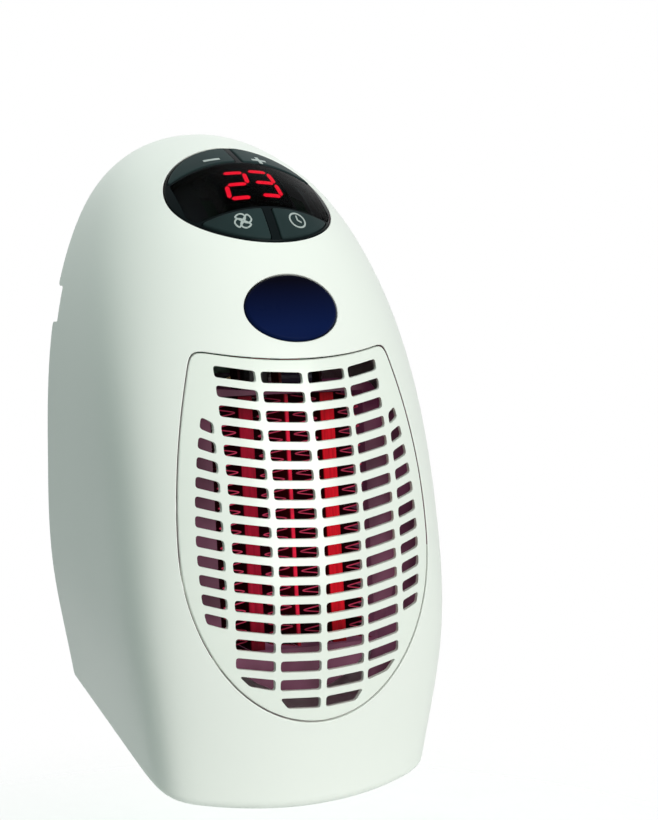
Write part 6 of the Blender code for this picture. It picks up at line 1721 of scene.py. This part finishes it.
def rounded_profile(radius, face, edge, steps=6):
    """Corner of a turned face: (r - e + e sin t, face + e (1 - cos t))."""
    return [(radius - edge + edge * math.sin(t), face + edge * (1 - math.cos(t)))
            for t in np.linspace(0, math.pi / 2, steps)]


def rim_tools():
    """Soft boxes for the guide groove and the earth slot of each side."""
    low, high = PLUG_FACE - RIM_TOOL_BEHIND, PLUG_FACE + RIM_TOOL_AHEAD
    tools = []
    for side in (-1, 1):
        near, far = sorted((side * GROOVE_NEAR, side * BEYOND_RIM))
        tools.append(rounded_box((near, low, PLUG_HEIGHT - GROOVE_HALF),
                                 (far, high, PLUG_HEIGHT + GROOVE_HALF), GROOVE_EDGE))
        near, far = sorted((PLUG_HEIGHT + side * EARTH_NEAR, PLUG_HEIGHT + side * BEYOND_RIM))
        tools.append(rounded_box((-EARTH_HALF, low, near), (EARTH_HALF, high, far), EARTH_EDGE))
    return tools


def make_turret():
    """Turned plug body with its grooves, slots and pin holes."""
    profile = rounded_profile(TURRET_RADIUS, PLUG_FACE, TURRET_EDGE)
    profile += [(TURRET_RADIUS, FLANGE_REAR), (FLANGE_RADIUS, FLANGE_REAR),
                (FLANGE_RADIUS, FLANGE_FRONT), (BORE_RADIUS, FLANGE_FRONT),
                (BORE_RADIUS, PLUG_FACE + FACE_THICK)]
    turret = object_of("plug_body", *lathe(profile, 144, (0.0, 0.0, PLUG_HEIGHT)), body="plug",
                       slot="plug_turret", replaces=["plug_turret"])
    outward(turret.data)
    for part in rim_tools():
        cut(turret, [part])
    for side in (-1, 1):
        hole = circle(PIN_HOLE, (side * PIN_HALF_SPACING, PLUG_HEIGHT), 40)
        cut(turret, [flat_tool(hole, PLUG_FACE, PLUG_FACE + PIN_HOLE_DEEP, MOUTH)])
    smooth(turret, 30)
    painted(turret, COVER_WHITE)


def make_pin(node, side):
    """Round pin with a rounded tip, a collar behind the face and a tail as long as the CAD's."""
    seat = PLUG_FACE + PIN_SEAT
    tail = -REAR_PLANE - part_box(node)[0][1]
    profile = rounded_profile(PIN_RADIUS, PLUG_FACE - PIN_LENGTH, PIN_ROUND, 8)
    profile += [(PIN_RADIUS, seat), (COLLAR_RADIUS, seat), (COLLAR_RADIUS, seat + COLLAR_THICK),
                (TAIL_RADIUS, seat + COLLAR_THICK), (TAIL_RADIUS, tail)]
    turned = lathe(profile, 56, (side * PIN_HALF_SPACING, 0.0, PLUG_HEIGHT))
    pin = object_of(node + "_turned", *turned, body="plug", slot=node, replaces=[node])
    outward(pin.data)
    smooth(pin, 30)
    painted(pin, NICKEL)


make_turret()
make_pin("plug_pin_left", -1)
make_pin("plug_pin_right", 1)
print("plug done")

# %% [markdown]
# ## Main switch
#
# A rocker switch in the side wall is a guess, since no side view exists. It is a bezel with a
# well, and a rocker whose face is hollow: it stands out by crest + (end - crest) (z / half)^2.
# The rocker is the side view carried across, which keeps that curve, and it turns about its
# axis, so it rides on its own body.

# %% Switch
BEZEL_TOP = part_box("switch_body")[1][0]
BEZEL_THICK, BEZEL_HALVES, BEZEL_ROUND = 0.0014, (0.0075, 0.0107), 0.0006
BODY_INNER, BODY_SUNK, BODY_HALVES, BODY_ROUND = 0.0347, 0.0005, (0.0060, 0.0092), 0.0004
WELL_DEEP, WELL_ABOVE, WELL_HALVES, WELL_ROUND = 0.0085, 0.004, (0.0049, 0.0081), 0.0003
ROCKER_AXIS = 0.046358
ROCKER_ANGLE = math.radians(8)
ROCKER_HALF, ROCKER_CREST, ROCKER_DEPTH = 0.0076, 0.0016, 0.0052
ROCKER_SIDE, ROCKER_SOFT = 0.0046, (0.0009, 0.0003)
# How far the outline is drawn in, and at what distance from the side face.
SIDE_INSETS = ((0.0004, 0.0), (0.0001, 0.0001), (0.0, 0.0004))


def make_switch_body():
    """Bezel outside the wall and body behind it, hollowed by the well."""
    bezel = switch_box(BEZEL_TOP - BEZEL_THICK, BEZEL_TOP, *BEZEL_HALVES, BEZEL_ROUND)
    body = switch_box(BODY_INNER, BEZEL_TOP - BODY_SUNK, *BODY_HALVES, BODY_ROUND)
    well = switch_box(BEZEL_TOP - WELL_DEEP, BEZEL_TOP + WELL_ABOVE, *WELL_HALVES, WELL_ROUND)
    switch = object_of("switch_bezel", *bezel, slot="switch_body", replaces=["switch_body"])
    box = object_of("switch_box", *body, slot="switch_body")
    for part in (switch, box):
        outward(part.data)
        cut(part, [well])
        smooth(part, 30)
        painted(part, SWITCH_BLACK)


def rocker_outline():
    """Side view (out, up) of the rocker, its outer corners rounded, turned by its rest angle."""
    half, crest, depth = ROCKER_HALF, ROCKER_CREST, ROCKER_DEPTH
    end = crest + half * math.tan(ROCKER_ANGLE)
    up = np.linspace(-half, half, 40)
    face = np.stack([crest + (end - crest) * (up / half) ** 2, up], 1)
    back = np.array([(-depth / 2, half), (-depth, half / 2),
                     (-depth, -half / 2), (-depth / 2, -half)])
    ring = softened(np.vstack([face, back]), *ROCKER_SOFT)
    turn = np.array([[math.cos(ROCKER_ANGLE), math.sin(ROCKER_ANGLE)],
                     [-math.sin(ROCKER_ANGLE), math.cos(ROCKER_ANGLE)]])
    return ring @ turn.T


def make_rocker():
    """The side view carried across the key's width, drawn in at both side faces."""
    outline = rocker_outline()
    stations = [(inset, -ROCKER_SIDE + step) for inset, step in SIDE_INSETS]
    stations += [(inset, ROCKER_SIDE - step) for inset, step in SIDE_INSETS[::-1]]
    rows = []
    for inset, across in stations:
        ring = drawn_in(outline, inset)
        rows.append(np.stack([ROCKER_AXIS + ring[:, 0],
                              np.full(len(ring), SWITCH_FORWARD + across),
                              SWITCH_HEIGHT + ring[:, 1]], 1))
    rocker = object_of("rocker", *closed_loft(rows), body="rocker", slot="rocker_key",
                       replaces=["rocker_key"])
    outward(rocker.data)
    smooth(rocker, 30)
    painted(rocker, SWITCH_BLACK)


make_switch_body()
make_rocker()
print("switch done")

# %% [markdown]
# ## Materials of the CAD nodes that stay
#
# What lies inside is seen only through the slots and the vents, or not at all. Finer shapes
# would be lost there, so these nodes keep their CAD shape, and each takes the material that such
# a part has on a real board, motor or plug. The heater frame and the air duct instead take the
# core's red light, painted on as a mauve glow.

# %% Carried-over nodes
CARRIED = {
    "control_board": BOARD_GREEN, "receiver_board": BOARD_GREEN, "power_board": BOARD_GREEN,
    "key_mat": RUBBER_GREY, "ir_receiver": RESIN_BLACK,
    # The pale heater frame and air duct: the core's red light painted on as a mauve glow.
    "heater_frame": PAINTED_INNER_GLOW, "air_duct": PAINTED_INNER_GLOW,
    "thermal_cutout": RESIN_BLACK, "thermal_fuse": SLEEVE_BLACK,
    "fan_frame": RESIN_BLACK, "fan_motor": STEEL, "fan_bearing": BRASS, "fan_shaft": STEEL,
    "fan_rotor": RESIN_BLACK,
    "relay": RELAY_BLUE, "film_capacitor": FILM_RED, "transformer": TAPE_YELLOW,
    "electrolytic_capacitor": SLEEVE_BLACK,
    "wiper_block": RESIN_BLACK, "wiper_contact_inner": BRASS, "wiper_contact_outer": BRASS,
    "turret_retainer": COVER_WHITE, "slip_ring_carrier": RESIN_BLACK,
    "slip_ring_inner": BRASS, "slip_ring_outer": BRASS,
}

for node, material in CARRIED.items():
    painted(bpy.data.objects[node], material)
for node in frame["nodes"]:
    if "screw" in node and "case" not in node:
        painted(bpy.data.objects[node], ZINC)
print(len(CARRIED), "nodes dressed beside the screws")
